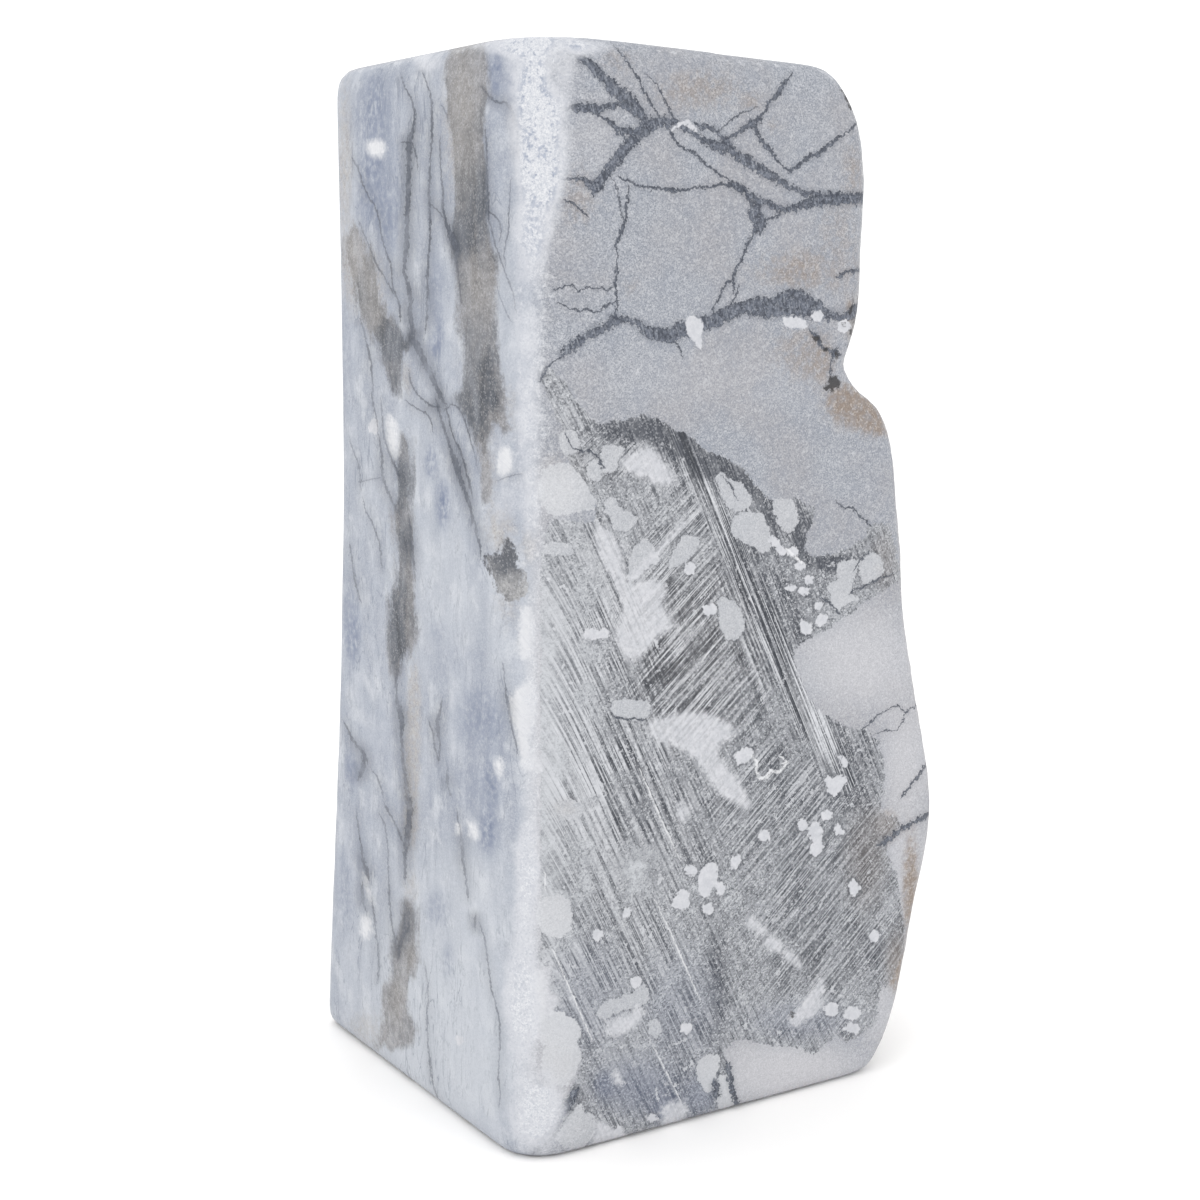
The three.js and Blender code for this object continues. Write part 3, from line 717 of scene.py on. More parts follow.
# %% Trace the chalk-white clasts
# The large ones and those of the left face are blurred at the rim, as if seen through the stone.
CHALK_CLOUDS = [
    [(621, 458), (630, 455), (640, 450), (645, 445), (650, 446), (655, 450), (661, 458),
     (666, 465), (673, 470), (676, 478), (673, 484), (664, 486), (654, 485), (648, 478),
     (640, 477), (632, 473), (624, 468), (620, 463)],
    [(595, 528), (603, 524), (610, 530), (615, 537), (620, 545), (623, 555), (624, 567),
     (626, 575), (630, 583), (628, 592), (622, 597), (617, 590), (613, 578), (604, 566),
     (599, 556), (597, 545), (594, 536)],
    [(618, 584), (628, 580), (642, 583), (655, 579), (664, 583), (667, 592), (662, 600),
     (664, 606), (668, 618), (678, 624), (670, 630), (660, 636), (651, 645), (642, 655),
     (635, 660), (626, 659), (621, 652), (616, 641), (616, 632), (621, 622), (622, 610),
     (621, 598)],
    [(648, 720), (660, 718), (672, 714), (684, 712), (700, 712), (712, 714), (722, 720),
     (728, 722), (734, 728), (736, 735), (730, 738), (720, 745), (720, 756), (730, 770),
     (738, 780), (744, 790), (751, 806), (746, 809), (738, 804), (728, 799), (720, 796),
     (712, 785), (704, 773), (697, 762), (690, 755), (680, 748), (665, 742), (655, 739),
     (650, 735)],
    [(765, 938), (772, 934), (777, 939), (783, 944), (785, 950), (780, 952), (772, 951),
     (766, 947), (763, 943)],
    [(528, 975), (535, 970), (551, 967), (549, 978), (548, 985), (551, 993), (560, 1000),
     (555, 1006), (553, 1012), (541, 1022), (541, 1030), (543, 1037), (530, 1036), (524, 1010)],
    [(533, 1095), (545, 1085), (555, 1090), (560, 1100), (556, 1112), (561, 1122), (553, 1131),
     (543, 1137), (530, 1138), (521, 1130), (519, 1115), (524, 1102)],
    [(597, 1120), (606, 1124), (615, 1130), (630, 1136), (625, 1142), (600, 1146), (592, 1148)],
    [(663, 1105), (672, 1101), (682, 1101), (686, 1107), (688, 1114), (684, 1122), (672, 1125),
     (660, 1127), (663, 1118), (660, 1112)],
    [(603, 1030), (607, 1023), (618, 1017), (630, 1013), (637, 1006), (643, 1008), (645, 1015),
     (640, 1022), (635, 1027), (625, 1032), (615, 1036), (607, 1034)],
    [(818, 978), (823, 982), (825, 990), (823, 1000), (821, 1008), (815, 1015), (805, 1022),
     (797, 1027), (789, 1024), (788, 1018), (794, 1012), (800, 1005), (805, 998), (812, 992),
     (816, 985)],
    [(677, 803), (683, 799), (690, 806), (689, 818), (682, 823), (677, 814)],
    [(612, 1070), (619, 1071), (623, 1080), (620, 1087), (613, 1082)],
    [(627, 578), (650, 556), (682, 520), (686, 523), (660, 556), (640, 577), (629, 584)],
    [(746, 921), (752, 917), (760, 923), (768, 930), (764, 935), (755, 931), (748, 927)],
    [(783, 952), (790, 950), (797, 957), (802, 965), (798, 968), (790, 963), (784, 958)],
    # on the left face and the near edge
    [(368, 141), (375, 139), (383, 141), (386, 149), (383, 157), (375, 158), (368, 154),
     (366, 147)],
    [(388, 413), (394, 418), (398, 428), (399, 440), (399, 452), (395, 458), (390, 452),
     (387, 440), (386, 425)],
    [(500, 447), (508, 446), (512, 452), (514, 462), (511, 472), (505, 478), (499, 474),
     (497, 465), (498, 455)],
    [(496, 757), (502, 757), (504, 765), (502, 775), (499, 780), (496, 772), (494, 764)],
    [(468, 822), (474, 823), (478, 830), (480, 838), (475, 840), (470, 835)],
    [(456, 822), (461, 823), (461, 833), (457, 834)],
    [(363, 873), (367, 875), (369, 885), (372, 898), (373, 903), (369, 900), (366, 892),
     (363, 882)],
    [(362, 916), (368, 914), (372, 922), (372, 932), (368, 939), (363, 939), (360, 930)],
    [(523, 608), (530, 605), (534, 615), (534, 635), (532, 655), (525, 660), (520, 655),
     (518, 640), (519, 625)],
    [(515, 690), (522, 685), (530, 680), (535, 690), (538, 705), (536, 720), (530, 735),
     (532, 750), (540, 758), (545, 765), (540, 772), (528, 772), (522, 765), (519, 750),
     (516, 735), (511, 718), (509, 705), (511, 695)],
]
CHALK_CLASTS = [
    [(735, 757), (742, 750), (747, 748), (752, 752), (752, 758), (746, 762), (737, 763)],
    [(771, 534), (776, 539), (781, 545), (785, 551), (783, 554), (778, 552), (774, 546),
     (770, 540)],
    [(839, 753), (843, 758), (848, 763), (845, 766), (840, 762)],
    [(825, 782), (828, 776), (832, 779), (838, 777), (846, 776), (847, 780), (843, 786),
     (834, 795), (829, 791)],
    [(822, 814), (827, 810), (832, 815), (830, 819), (823, 818)],
    [(813, 823), (818, 824), (822, 830), (821, 838), (823, 843), (823, 848), (820, 853),
     (815, 855), (811, 852), (812, 848), (816, 845), (813, 840), (810, 835), (808, 830)],
    [(836, 824), (839, 825), (841, 830), (844, 834), (838, 835), (835, 829)],
    [(737, 855), (740, 857), (739, 863), (736, 869), (731, 868), (731, 863), (734, 858)],
    [(853, 880), (857, 884), (860, 889), (855, 895), (850, 889), (850, 884)],
    [(874, 930), (880, 935), (877, 940), (873, 942), (869, 938), (870, 934)],
    [(683, 890), (688, 893), (688, 905), (684, 909), (677, 908), (672, 904), (676, 898),
     (680, 893)],
    [(707, 866), (712, 862), (716, 866), (717, 876), (714, 886), (710, 894), (704, 896),
     (699, 892), (699, 880), (701, 870)],
]
# Flakes that lie over the veins.
FLAKES = [
    [(685, 320), (692, 316), (700, 318), (704, 326), (701, 333), (702, 342), (700, 352),
     (696, 344), (688, 336)],
    [(782, 318), (796, 317), (806, 321), (808, 328), (800, 329), (790, 328), (784, 324)],
    [(669, 132), (675, 127), (681, 121), (688, 120), (693, 125), (697, 129), (704, 136),
     (701, 137), (696, 132), (689, 128), (686, 125), (682, 124), (676, 129)],
    [(812, 312), (820, 310), (824, 316), (820, 322), (813, 320)],
    [(838, 322), (846, 320), (852, 326), (846, 333), (838, 330)],
    [(455, 1037), (462, 1036), (464, 1043), (458, 1046)],
]

# Round ones are given by middle, half width and half height.
CHALK_SPOTS = [
    (690, 568, 4, 4), (591, 634, 5, 4), (604, 634, 4, 3), (791, 587, 4, 2), (804, 591, 4, 2),
    (810, 580, 4, 2.5), (822, 620, 5, 3.5), (806, 629, 4.5, 3.5), (804, 624, 3, 2),
    (819, 606, 2, 3), (803, 825, 4, 4), (764, 836, 4, 4), (708, 908, 4, 4), (627, 913, 3, 3),
    (597, 934, 4, 4), (652, 1118, 4, 2), (636, 982, 4, 4), (686, 1028, 4, 4), (832, 1009, 5, 5),
    (852, 1013, 7, 5), (852, 1028, 6, 3), (619, 1130, 3, 3), (721, 889, 3, 4), (800, 566, 3, 3),
    (793, 552, 3, 3), (710, 610, 6, 4), (824, 313, 2.5, 3.5), (780, 308, 1.2, 2.5),
    (374, 426, 3, 6), (691, 870, 4, 4),
]


def oval(x, y, wide, tall, corners=10):
    """A closed outline round a middle point."""
    wide, tall = wide + 1, tall + 1
    turns = [2 * math.pi * corner / corners for corner in range(corners)]
    return [(x + wide * math.cos(turn), y + tall * math.sin(turn)) for turn in turns]


store("clouds", outline_distance(CHALK_CLOUDS))
store("chalk", outline_distance(CHALK_CLASTS + [oval(*spot) for spot in CHALK_SPOTS]))
store("flakes", outline_distance(FLAKES))

# Small black pits at the notch of the natural side and beside it.
BLACK_PITS = [
    (834, 381, 5, 5), (838, 386, 2.5, 2), (827, 388, 2, 2), (831, 391, 2, 1.5),
    (836, 355, 1.5, 2.5), (816, 338, 2, 2), (825, 349, 1, 1), (793, 1014, 1.5, 1.5),
    (844, 325, 1.5, 1), (851, 310, 1, 2.5), (851, 332, 1, 2), (848, 345, 2, 1), (856, 322, 1, 2),
    (847, 98, 2, 2.5), (843, 88, 2, 2), (851, 106, 2, 2.5),
]
store("pits", outline_distance([oval(*pit) for pit in BLACK_PITS]))

# %% [markdown]
# The left face has wide grey-brown bands with soft edges and one dark jagged patch.

# %% Trace the bands of the left face
GREY_BANDS = [
    [(452, 44), (447, 70), (446, 90), (447, 110), (450, 130), (452, 150), (454, 170), (455, 190),
     (455, 205), (453, 225), (451, 238), (455, 260), (458, 280), (461, 300), (461, 320),
     (464, 340), (467, 360), (466, 375), (462, 390), (457, 398), (460, 408), (465, 418),
     (470, 430), (474, 440), (477, 455), (480, 470), (483, 485), (486, 500), (488, 492),
     (491, 478), (489, 455), (490, 440), (495, 425), (503, 432), (509, 428), (507, 420),
     (505, 410), (506, 400), (504, 390), (502, 375), (500, 360), (498, 345), (496, 330),
     (493, 315), (494, 305), (495, 290), (497, 278), (500, 268), (501, 258), (498, 252),
     (494, 243), (490, 232), (488, 220), (490, 212), (490, 200), (489, 185), (488, 170),
     (487, 155), (485, 140), (485, 125), (485, 112), (487, 101), (490, 97), (487, 88), (487, 75),
     (486, 60), (484, 44)],
    [(355, 225), (361, 228), (366, 245), (371, 262), (377, 283), (383, 300), (391, 316),
     (400, 331), (406, 340), (411, 331), (416, 343), (411, 350), (405, 353), (402, 361),
     (400, 372), (399, 382), (397, 394), (393, 397), (389, 388), (387, 374), (384, 361),
     (380, 350), (373, 335), (365, 322), (357, 305), (352, 285), (347, 262), (346, 240)],
    [(402, 435), (400, 447), (397, 460), (397, 475), (397, 490), (395, 505), (392, 515),
     (393, 530), (397, 545), (398, 560), (397, 575), (397, 585), (391, 592), (389, 603),
     (389, 618), (388, 632), (388, 645), (389, 655), (392, 668), (396, 680), (400, 676),
     (404, 664), (409, 654), (414, 645), (417, 635), (418, 622), (419, 610), (418, 597),
     (416, 580), (415, 568), (414, 553), (414, 540), (412, 527), (409, 515), (409, 500),
     (410, 485), (410, 470), (409, 455), (409, 440)],
    [(404, 900), (412, 905), (415, 925), (417, 945), (418, 960), (414, 975), (408, 985),
     (406, 1000), (406, 1012), (412, 1020), (416, 1030), (413, 1042), (405, 1045), (392, 1048),
     (378, 1046), (380, 1035), (383, 1020), (382, 1005), (384, 990), (390, 985), (394, 975),
     (393, 955), (395, 940), (401, 925)],
]
store("bands", outline_distance(GREY_BANDS))

JAGGED_PATCH = [
    (483, 556), (486, 555), (490, 554), (493, 554), (496, 552), (500, 554), (503, 552), (503, 543),
    (505, 539), (508, 538), (510, 541), (513, 543), (515, 547), (518, 553), (518, 559), (515, 563),
    (516, 567), (520, 569), (524, 571), (527, 574), (528, 578), (528, 585), (529, 592), (520, 600),
    (508, 602), (499, 592), (493, 580), (488, 570),
]
store("jagged", outline_distance([JAGGED_PATCH]))

# %% [markdown]
# ## Soft tones
# Between the crisp markings the stone changes tone softly: rust and beige where iron got in,
# blue where the alabaster is clearest, and darker or lighter parts of the ground.
# They are sprayed on as with an airbrush, one soft oval over the other. Each spot has its
# middle, its half width and half height, in pixels, and the value that it brings.

# %% Spray the tones
WARM_SPOTS = [
    (617, 60, 20, 16, 0.4), (578, 198, 22, 34, 0.45), (630, 285, 12, 16, 0.3),
    (752, 102, 14, 9, 0.45), (774, 125, 8, 10, 0.4), (805, 270, 55, 24, 0.6),
    (803, 352, 34, 34, 0.5), (858, 408, 32, 24, 1.0), (842, 398, 16, 14, 1.0),
    (880, 422, 17, 16, 1.0), (820, 362, 16, 26, 0.6), (853, 172, 12, 34, 0.5),
    (700, 90, 50, 24, 0.5), (838, 240, 24, 50, 0.4), (345, 160, 9, 90, 0.6),
    (350, 270, 9, 45, 0.7), (407, 378, 7, 22, 0.5), (414, 700, 8, 45, 0.7),
    (412, 760, 10, 50, 0.7), (411, 820, 9, 40, 0.7), (411, 890, 9, 22, 0.5),
    (490, 280, 8, 20, 0.4), (512, 410, 8, 32, 0.4), (492, 470, 7, 50, 0.4),
    (500, 530, 18, 26, 0.6), (528, 545, 11, 24, 0.5), (410, 955, 8, 14, 0.6),
    (396, 1000, 11, 28, 0.6), (365, 1030, 20, 22, 0.5), (911, 890, 9, 60, 1.0),
    (897, 965, 11, 30, 1.0), (884, 826, 16, 16, 0.9), (884, 560, 12, 28, 0.5),
    (508, 605, 16, 26, 0.4), (560, 1060, 16, 20, 0.4), (866, 860, 22, 50, 0.5),
    (690, 640, 60, 90, 0.15), (567, 808, 12, 8, 0.6), (852, 320, 8, 24, 0.9),
    (462, 120, 20, 90, 0.7), (478, 300, 16, 50, 0.5), (372, 290, 16, 50, 0.6),
    (468, 360, 18, 50, 0.2), (560, 480, 26, 30, 0.3),
]
BLUE_SPOTS = [
    (374, 115, 20, 50, 0.8), (372, 172, 12, 26, 1.0), (375, 200, 20, 30, 0.8),
    (388, 215, 12, 40, 0.8), (496, 72, 8, 28, 0.9), (511, 90, 7, 26, 0.8), (440, 330, 5, 22, 0.8),
    (435, 345, 7, 14, 0.9), (436, 290, 7, 40, 0.5), (431, 462, 7, 17, 0.8), (443, 505, 7, 24, 1.0),
    (352, 632, 9, 36, 0.9), (348, 600, 6, 26, 0.5), (438, 632, 9, 11, 0.4),
    (482, 720, 24, 36, 0.7), (489, 785, 11, 28, 1.0), (487, 830, 11, 24, 1.0),
    (470, 790, 18, 30, 0.4), (455, 660, 28, 16, 0.3), (352, 770, 8, 18, 0.7),
    (437, 910, 13, 22, 0.5), (448, 960, 6, 18, 0.5), (345, 900, 12, 50, 0.4),
    (360, 860, 6, 40, 0.3), (344, 340, 8, 60, 0.3), (665, 1105, 16, 18, 0.9),
    (606, 1085, 11, 14, 0.9), (560, 1022, 16, 12, 0.6), (478, 555, 12, 30, 0.3),
    (380, 740, 20, 30, 0.2), (640, 1085, 44, 30, 0.6), (590, 40, 30, 12, 0.2),
    (395, 180, 9, 40, 0.5), (700, 1095, 20, 24, 0.6), (590, 1000, 40, 60, 0.25),
    (680, 1010, 40, 60, 0.3), (800, 1020, 50, 20, 0.35), (530, 200, 14, 60, 0.2),
]
# How dark the rock is: the dark ground of the front, the bands and the veins of the left face.
DARK_SPOTS = [
    (552, 740, 26, 260, 0.02), (583, 780, 20, 240, 0.35), (625, 760, 26, 110, 0.75),
    (575, 545, 34, 26, 0.5), (612, 470, 40, 34, 0.6), (650, 530, 50, 60, 0.6),
    (640, 429, 44, 13, 1.5), (680, 445, 28, 16, 1.5), (712, 466, 26, 16, 1.5),
    (745, 485, 24, 16, 1.5), (778, 514, 20, 16, 1.5), (803, 536, 12, 24, 1.5),
    (836, 563, 28, 9, 1.4), (868, 545, 26, 14, 0.7), (745, 565, 36, 60, 1.0),
    (780, 640, 30, 60, 1.0), (700, 670, 60, 50, 0.75), (750, 740, 60, 50, 0.8),
    (820, 690, 20, 40, 0.8), (850, 770, 28, 40, 1.0), (855, 860, 30, 60, 0.95),
    (800, 880, 60, 60, 0.7), (830, 960, 50, 40, 0.75), (800, 1010, 70, 34, 0.55),
    (745, 930, 30, 30, 0.6), (642, 868, 26, 30, 0.15), (600, 960, 50, 60, 0.55),
    (660, 960, 40, 60, 0.6), (717, 990, 11, 60, 1.1), (690, 790, 34, 50, 0.8),
    (700, 850, 30, 30, 0.7), (590, 1048, 12, 20, 0.9), (625, 1057, 24, 22, 0.4),
    (680, 1050, 30, 40, 0.6), (660, 1100, 36, 20, 0.8), (606, 1086, 14, 14, 0.9),
    (553, 395, 12, 18, 0.7), (640, 800, 16, 40, 0.95), (655, 870, 14, 16, 0.4),
    (560, 560, 20, 30, 0.5),
    # on the left face
    (430, 700, 110, 560, 0.35), (409, 200, 16, 150, 1.0), (430, 200, 10, 130, 0.9),
    (445, 225, 12, 40, 1.0), (375, 230, 24, 90, 0.7), (500, 120, 24, 60, 0.8),
    (440, 400, 30, 90, 0.8), (455, 480, 20, 60, 0.9), (468, 70, 24, 60, 0.3),
    (470, 150, 20, 50, 0.6), (474, 215, 22, 40, 1.0), (460, 245, 12, 18, 1.1),
    (478, 285, 22, 30, 0.35), (475, 330, 20, 24, 0.6), (482, 385, 24, 42, 0.95),
    (468, 410, 12, 26, 1.0), (484, 470, 12, 34, 0.3), (358, 245, 14, 30, 0.1),
    (370, 300, 18, 24, 0.5), (395, 345, 22, 26, 1.1), (393, 380, 12, 24, 0.8),
    (404, 475, 12, 36, 1.0), (404, 545, 12, 34, 0.7), (398, 615, 13, 34, 1.1),
    (411, 610, 7, 34, 0.5), (399, 652, 11, 20, 1.0), (402, 725, 9, 30, 0.8),
    (408, 820, 9, 50, 0.9), (408, 925, 8, 24, 0.6), (398, 995, 12, 24, 0.35),
    (390, 1030, 18, 18, 0.1), (362, 860, 12, 30, 0.9), (360, 755, 14, 24, 0.7),
    (505, 556, 24, 22, 1.1), (508, 592, 18, 16, 0.45),
]
# Pale, almost white rock.
PALE_SPOTS = [
    (860, 660, 70, 56, 0.8), (905, 760, 26, 60, 0.8), (905, 860, 24, 60, 0.7),
    (790, 1075, 90, 40, 1.0), (880, 1010, 24, 40, 0.7), (700, 380, 160, 30, 0.15),
    (558, 490, 30, 26, 0.6), (430, 1010, 90, 120, 0.85), (470, 900, 60, 60, 0.6),
    (450, 580, 60, 80, 0.5), (560, 1000, 30, 120, 0.7), (360, 950, 20, 60, 0.4),
    (505, 330, 16, 120, 0.5), (420, 460, 20, 60, 0.3), (350, 180, 12, 120, 0.4),
    (370, 500, 20, 80, 0.3), (440, 1080, 90, 60, 0.95), (500, 640, 14, 80, 0.5),
    (590, 140, 34, 40, 0.2), (535, 730, 13, 240, 0.85),
]
# Bruised and frosted white along the near edge.
FROST_SPOTS = [
    (545, 46, 66, 12, 1.0), (539, 100, 33, 75, 1.0), (540, 175, 26, 55, 1.0),
    (532, 240, 20, 50, 0.85), (526, 330, 18, 70, 0.55), (527, 430, 15, 70, 0.6),
    (530, 510, 12, 34, 0.6), (528, 640, 12, 60, 0.3), (526, 720, 14, 50, 0.35),
    (530, 800, 13, 60, 0.4), (527, 880, 15, 60, 0.85), (522, 1000, 20, 70, 0.95),
    (538, 1112, 30, 44, 0.95), (428, 62, 18, 12, 0.6), (500, 480, 20, 60, 0.3),
    (560, 70, 16, 30, 0.5), (509, 503, 15, 18, 0.6),
]
# Where the saw's scratches rise to the right instead of falling, and how strongly they show.
RISING_SPOTS = [
    (600, 455, 45, 38, 1.0), (690, 560, 62, 90, 1.0), (700, 690, 75, 75, 1.0),
    (765, 800, 60, 60, 1.0), (820, 900, 115, 170, 1.0), (575, 700, 42, 220, 0.0),
    (640, 780, 34, 60, 0.0), (760, 580, 40, 70, 0.0),
]
SCRATCH_SPOTS = [
    (690, 640, 80, 110, 1.0), (700, 560, 60, 60, 1.0), (760, 790, 60, 50, 0.9),
    (600, 740, 50, 110, 0.9), (820, 900, 110, 150, 0.55), (775, 560, 40, 70, 0.35),
    (590, 470, 30, 40, 0.5), (745, 940, 40, 60, 0.4), (620, 960, 60, 80, 0.6),
    (642, 868, 24, 28, 0.0), (625, 1057, 24, 22, 0.1), (560, 1030, 22, 20, 0.0),
    (840, 580, 60, 36, 0.1), (555, 1095, 30, 50, 0.1), (695, 1085, 44, 34, 0.3),
    (625, 1085, 40, 40, 0.3),
]
STEEP_BAND = [(678, 424, 15), (727, 532, 14), (766, 623, 14), (802, 698, 16), (842, 780, 15)]


def airbrush(spots, tone=0.0):
    """Sprays soft spots over an even tone, one after the other, on the sides that are seen."""
    tones = np.full(count, tone)
    for x, y, wide, tall, value in spots:
        away = ((pixels[:, 0] - x) / wide) ** 2 + ((pixels[:, 1] - y) / tall) ** 2
        tones += np.exp(-(away**1.5)) * (value - tones)
    return tone + seen * (tones - tone)


# The tones where no spot was sprayed.
GROUND_TONE, SCRATCH_TONE = 0.6, 0.5

from_band, half_band = vein_distance([STEEP_BAND])[:, 1:].T
steep = ease(half_band - from_band, -4, 4)
rising = airbrush(RISING_SPOTS) * (1 - steep)
scratched = np.maximum(airbrush(SCRATCH_SPOTS, SCRATCH_TONE), steep)
tones = [airbrush(WARM_SPOTS), airbrush(BLUE_SPOTS), airbrush(DARK_SPOTS, GROUND_TONE)]
store("tints", np.stack(tones, axis=1))
store("wear", np.stack([airbrush(PALE_SPOTS), airbrush(FROST_SPOTS), steep], axis=1))
store("saw", np.stack([rising, scratched, seen], axis=1))

# %% [markdown]
# ## Sides and edges
# One number says how far a vertex belongs to the left face, whose rock was cut along its sheets
# and looks streaked and a little blurred. Another says how far it lies on an edge, where the
# tumbling bruised the crystals: on the flat faces one part of the normal is 1, on an edge none is.

# %% Measure the sides and edges
from_left = places[:, 0] - cad_low.x
from_front = places[:, 1] - cad_low.y
FULL_EDGE = 0.25
leftness = ease(from_front - from_left, -0.004, 0.004)
leftness *= ease(-normals[:, 0] - normals[:, 1], 0.3, 0.8)
edge = np.clip(1 - np.max(np.abs(normals), axis=1), 0, FULL_EDGE) / FULL_EDGE * (1 - skin)
store("sides", np.stack([leftness, edge, skin], axis=1))

# %% [markdown]
# ## Alabaster
# Alabaster is fine-grained gypsum. Sawn and tumbled, it has a satin skin that lets a little light
# in, with white bruises where the crystals were crushed. The material builds it in the order
# in which the rock was made: clear ground mass, cloudy tints, breccia, veins, and then the saw's
# scratches and the wear. Lengths in the real stone become noise scales: a scale of 1 over the
# size in metres makes patches of about that size. Real gypsum crystals are about 0.1 mm. They are
# drawn at 0.3 to 0.4 mm, because finer ones wouldn't show.

# %% Start the material with its noises
alabaster = bpy.data.materials.new("alabaster_sawn_and_tumbled")
alabaster.use_nodes = True
alabaster.node_tree.nodes.clear()
stone.data.materials.append(alabaster)

MM = 0.001
GRAIN_MM, CRYSTAL_MM, CRUMB_MM, SPECK_MM, CLOUD_MM, HAZE_MM = 0.3, 0.36, 0.9, 1.8, 7, 25
SMOOTH = {"interpolation_type": "SMOOTHSTEP"}
PLUS = {"operation": "ADD"}
MINUS = {"operation": "SUBTRACT"}
TIMES = {"operation": "MULTIPLY"}
LARGER = {"operation": "MAXIMUM"}

place = add("TexCoord", out=3)
grain = add("TexNoise", place, None, 1 / (GRAIN_MM * MM), 2, 0.7)
crystals = add("SeparateXYZ", add("TexVoronoi", place, None, 1 / (CRYSTAL_MM * MM), out=1))
crumb = add("TexNoise", place, None, 1 / (CRUMB_MM * MM), 2, 0.6)
speck = add("TexNoise", place, None, 1 / (SPECK_MM * MM), 3, 0.65)
cloud = add("TexNoise", place, None, 1 / (CLOUD_MM * MM), 3, 0.6)
haze = add("TexNoise", place, None, 1 / (HAZE_MM * MM), 2, 0.5)

sides, tints, wear, saw = (
    add("SeparateXYZ", add("Attribute", attribute_name=name, out=1), out=(0, 1, 2))
    for name in ("sides", "tints", "wear", "saw")
)
left_share, edge_share, skin_share = sides
warm, blue, dark = tints
pale, frost, steep_share = wear
rising_share, scratched, seen_share = saw


def tell(step):
    """Prints how far the material has grown."""
    print(step, "- nodes so far:", len(alabaster.node_tree.nodes))


tell("noises and attributes")

# %% [markdown]
# ### The ground mass
# On the front face the crystals show as a fine salt-and-pepper grain, in which each cell of a
# Voronoi pattern is one crystal with a random tone. Noises of several sizes cloud it, and in
# pale rock the whole mixture is lighter.


# %% Lay the ground mass of the front face
def peppered(base, dark_code, light_code, share):
    """Strews dark and light crystals over a colour."""
    darker = add("MixRGB", add("MapRange", crystals, 0, 0.35, share, 0), base, paint(dark_code))
    return add("MixRGB", add("MapRange", crystals, 0.65, 1, 0, share), darker, paint(light_code))


front_mass = add("MixRGB", add("MapRange", grain, 0.34, 0.66), paint("#82878F"), paint("#B9BCC4"))
front_mass = add("MixRGB", add("MapRange", haze, 0.42, 0.56, 0.4, 0), front_mass, paint("#A3A0A2"))
front_mass = add("MixRGB", add("MapRange", cloud, 0.35, 0.5, 0.25, 0), front_mass, paint("#8C93A0"))
front_mass = add("MixRGB", add("MapRange", speck, 0.36, 0.5, 0.25, 0), front_mass, paint("#868C98"))
front_mass = add("MixRGB", add("MapRange", speck, 0.6, 0.72, 0, 0.35), front_mass, paint("#D2D3D7"))
front_mass = peppered(front_mass, "#666C79", "#DCDDE1", 0.32)
pale_mass = add("MixRGB", add("MapRange", grain, 0.34, 0.66), paint("#B9B9BE"), paint("#D0D0D4"))
front_mass = add("MixRGB", pale, front_mass, peppered(pale_mass, "#A9A9AF", "#DEDEE2", 0.3))
tell("front mass")

# %% [markdown]
# The left face was cut along the sheets of the rock. It is the same mass, but streaked upwards
# and cloudy. A Mapping node stretches a noise to 20 mm upwards and 6 mm across for the streaks.
# Smoky sheets and threads of clay, thin as a hair, are drawn where such a noise passes its
# middle value, which gives long wavering lines.

# %% Lay the ground mass of the left face
streak_place = add("Mapping", place, None, None, (1 / (6 * MM), 1 / (6 * MM), 1 / (20 * MM)))
streak = add("TexNoise", streak_place, None, 1, 5, 0.6, named={"Distortion": 0.5})
left_mass = add("MixRGB", add("MapRange", streak, 0.36, 0.62), paint("#999FAC"), paint("#B4B9C3"))
left_mass = add("MixRGB", add("MapRange", cloud, 0.36, 0.5, 0.35, 0), left_mass, paint("#8F98A8"))
left_mass = add("MixRGB", add("MapRange", cloud, 0.52, 0.66, 0, 0.5), left_mass, paint("#D2D5DA"))
left_mass = add("MixRGB", add("MapRange", speck, 0.55, 0.7, 0, 0.25), left_mass, paint("#D0D3D9"))
left_mass = add("MixRGB", add("MapRange", grain, 0.34, 0.5, 0.25, 0), left_mass, paint("#868D9B"))
left_mass = add("MixRGB", add("MapRange", grain, 0.5, 0.66, 0, 0.25), left_mass, paint("#D3D6DB"))
left_mass = add("MixRGB", add("MapRange", pale, 0, 1, 0, 0.75), left_mass, paint("#CBCFD5"))
smoke = add("Math", add("Math", streak, 0.5, **MINUS), operation="ABSOLUTE")
smoke = add("MapRange", smoke, 0.002, 0.014, 0.45, 0)
smoke = add("Math", smoke, add("MapRange", cloud, 0.42, 0.6), **TIMES)
left_mass = add("MixRGB", smoke, left_mass, paint("#7F8692"))
thread_place = add("Mapping", place, None, None, (1 / (4 * MM), 1 / (4 * MM), 1 / (15 * MM)))
threads = add("TexNoise", thread_place, None, 1, 3, 0.5, named={"Distortion": 0.8})
threads = add("Math", add("Math", threads, 0.5, **MINUS), operation="ABSOLUTE")
threads = add("MapRange", threads, 0.004, 0.018, 0.55, 0)
threads = add("Math", threads, add("MapRange", haze, 0.42, 0.58), **TIMES)
left_mass = add("MixRGB", threads, left_mass, paint("#757D8B"))
left_mass = peppered(left_mass, "#7F8695", "#DBDDE2", 0.16)
tell("left mass")

# %% [markdown]
# Both masses meet at the near edge. Iron has stained the rock rusty in places, in grains rather
# than evenly, and where the alabaster is clearest it looks blue.

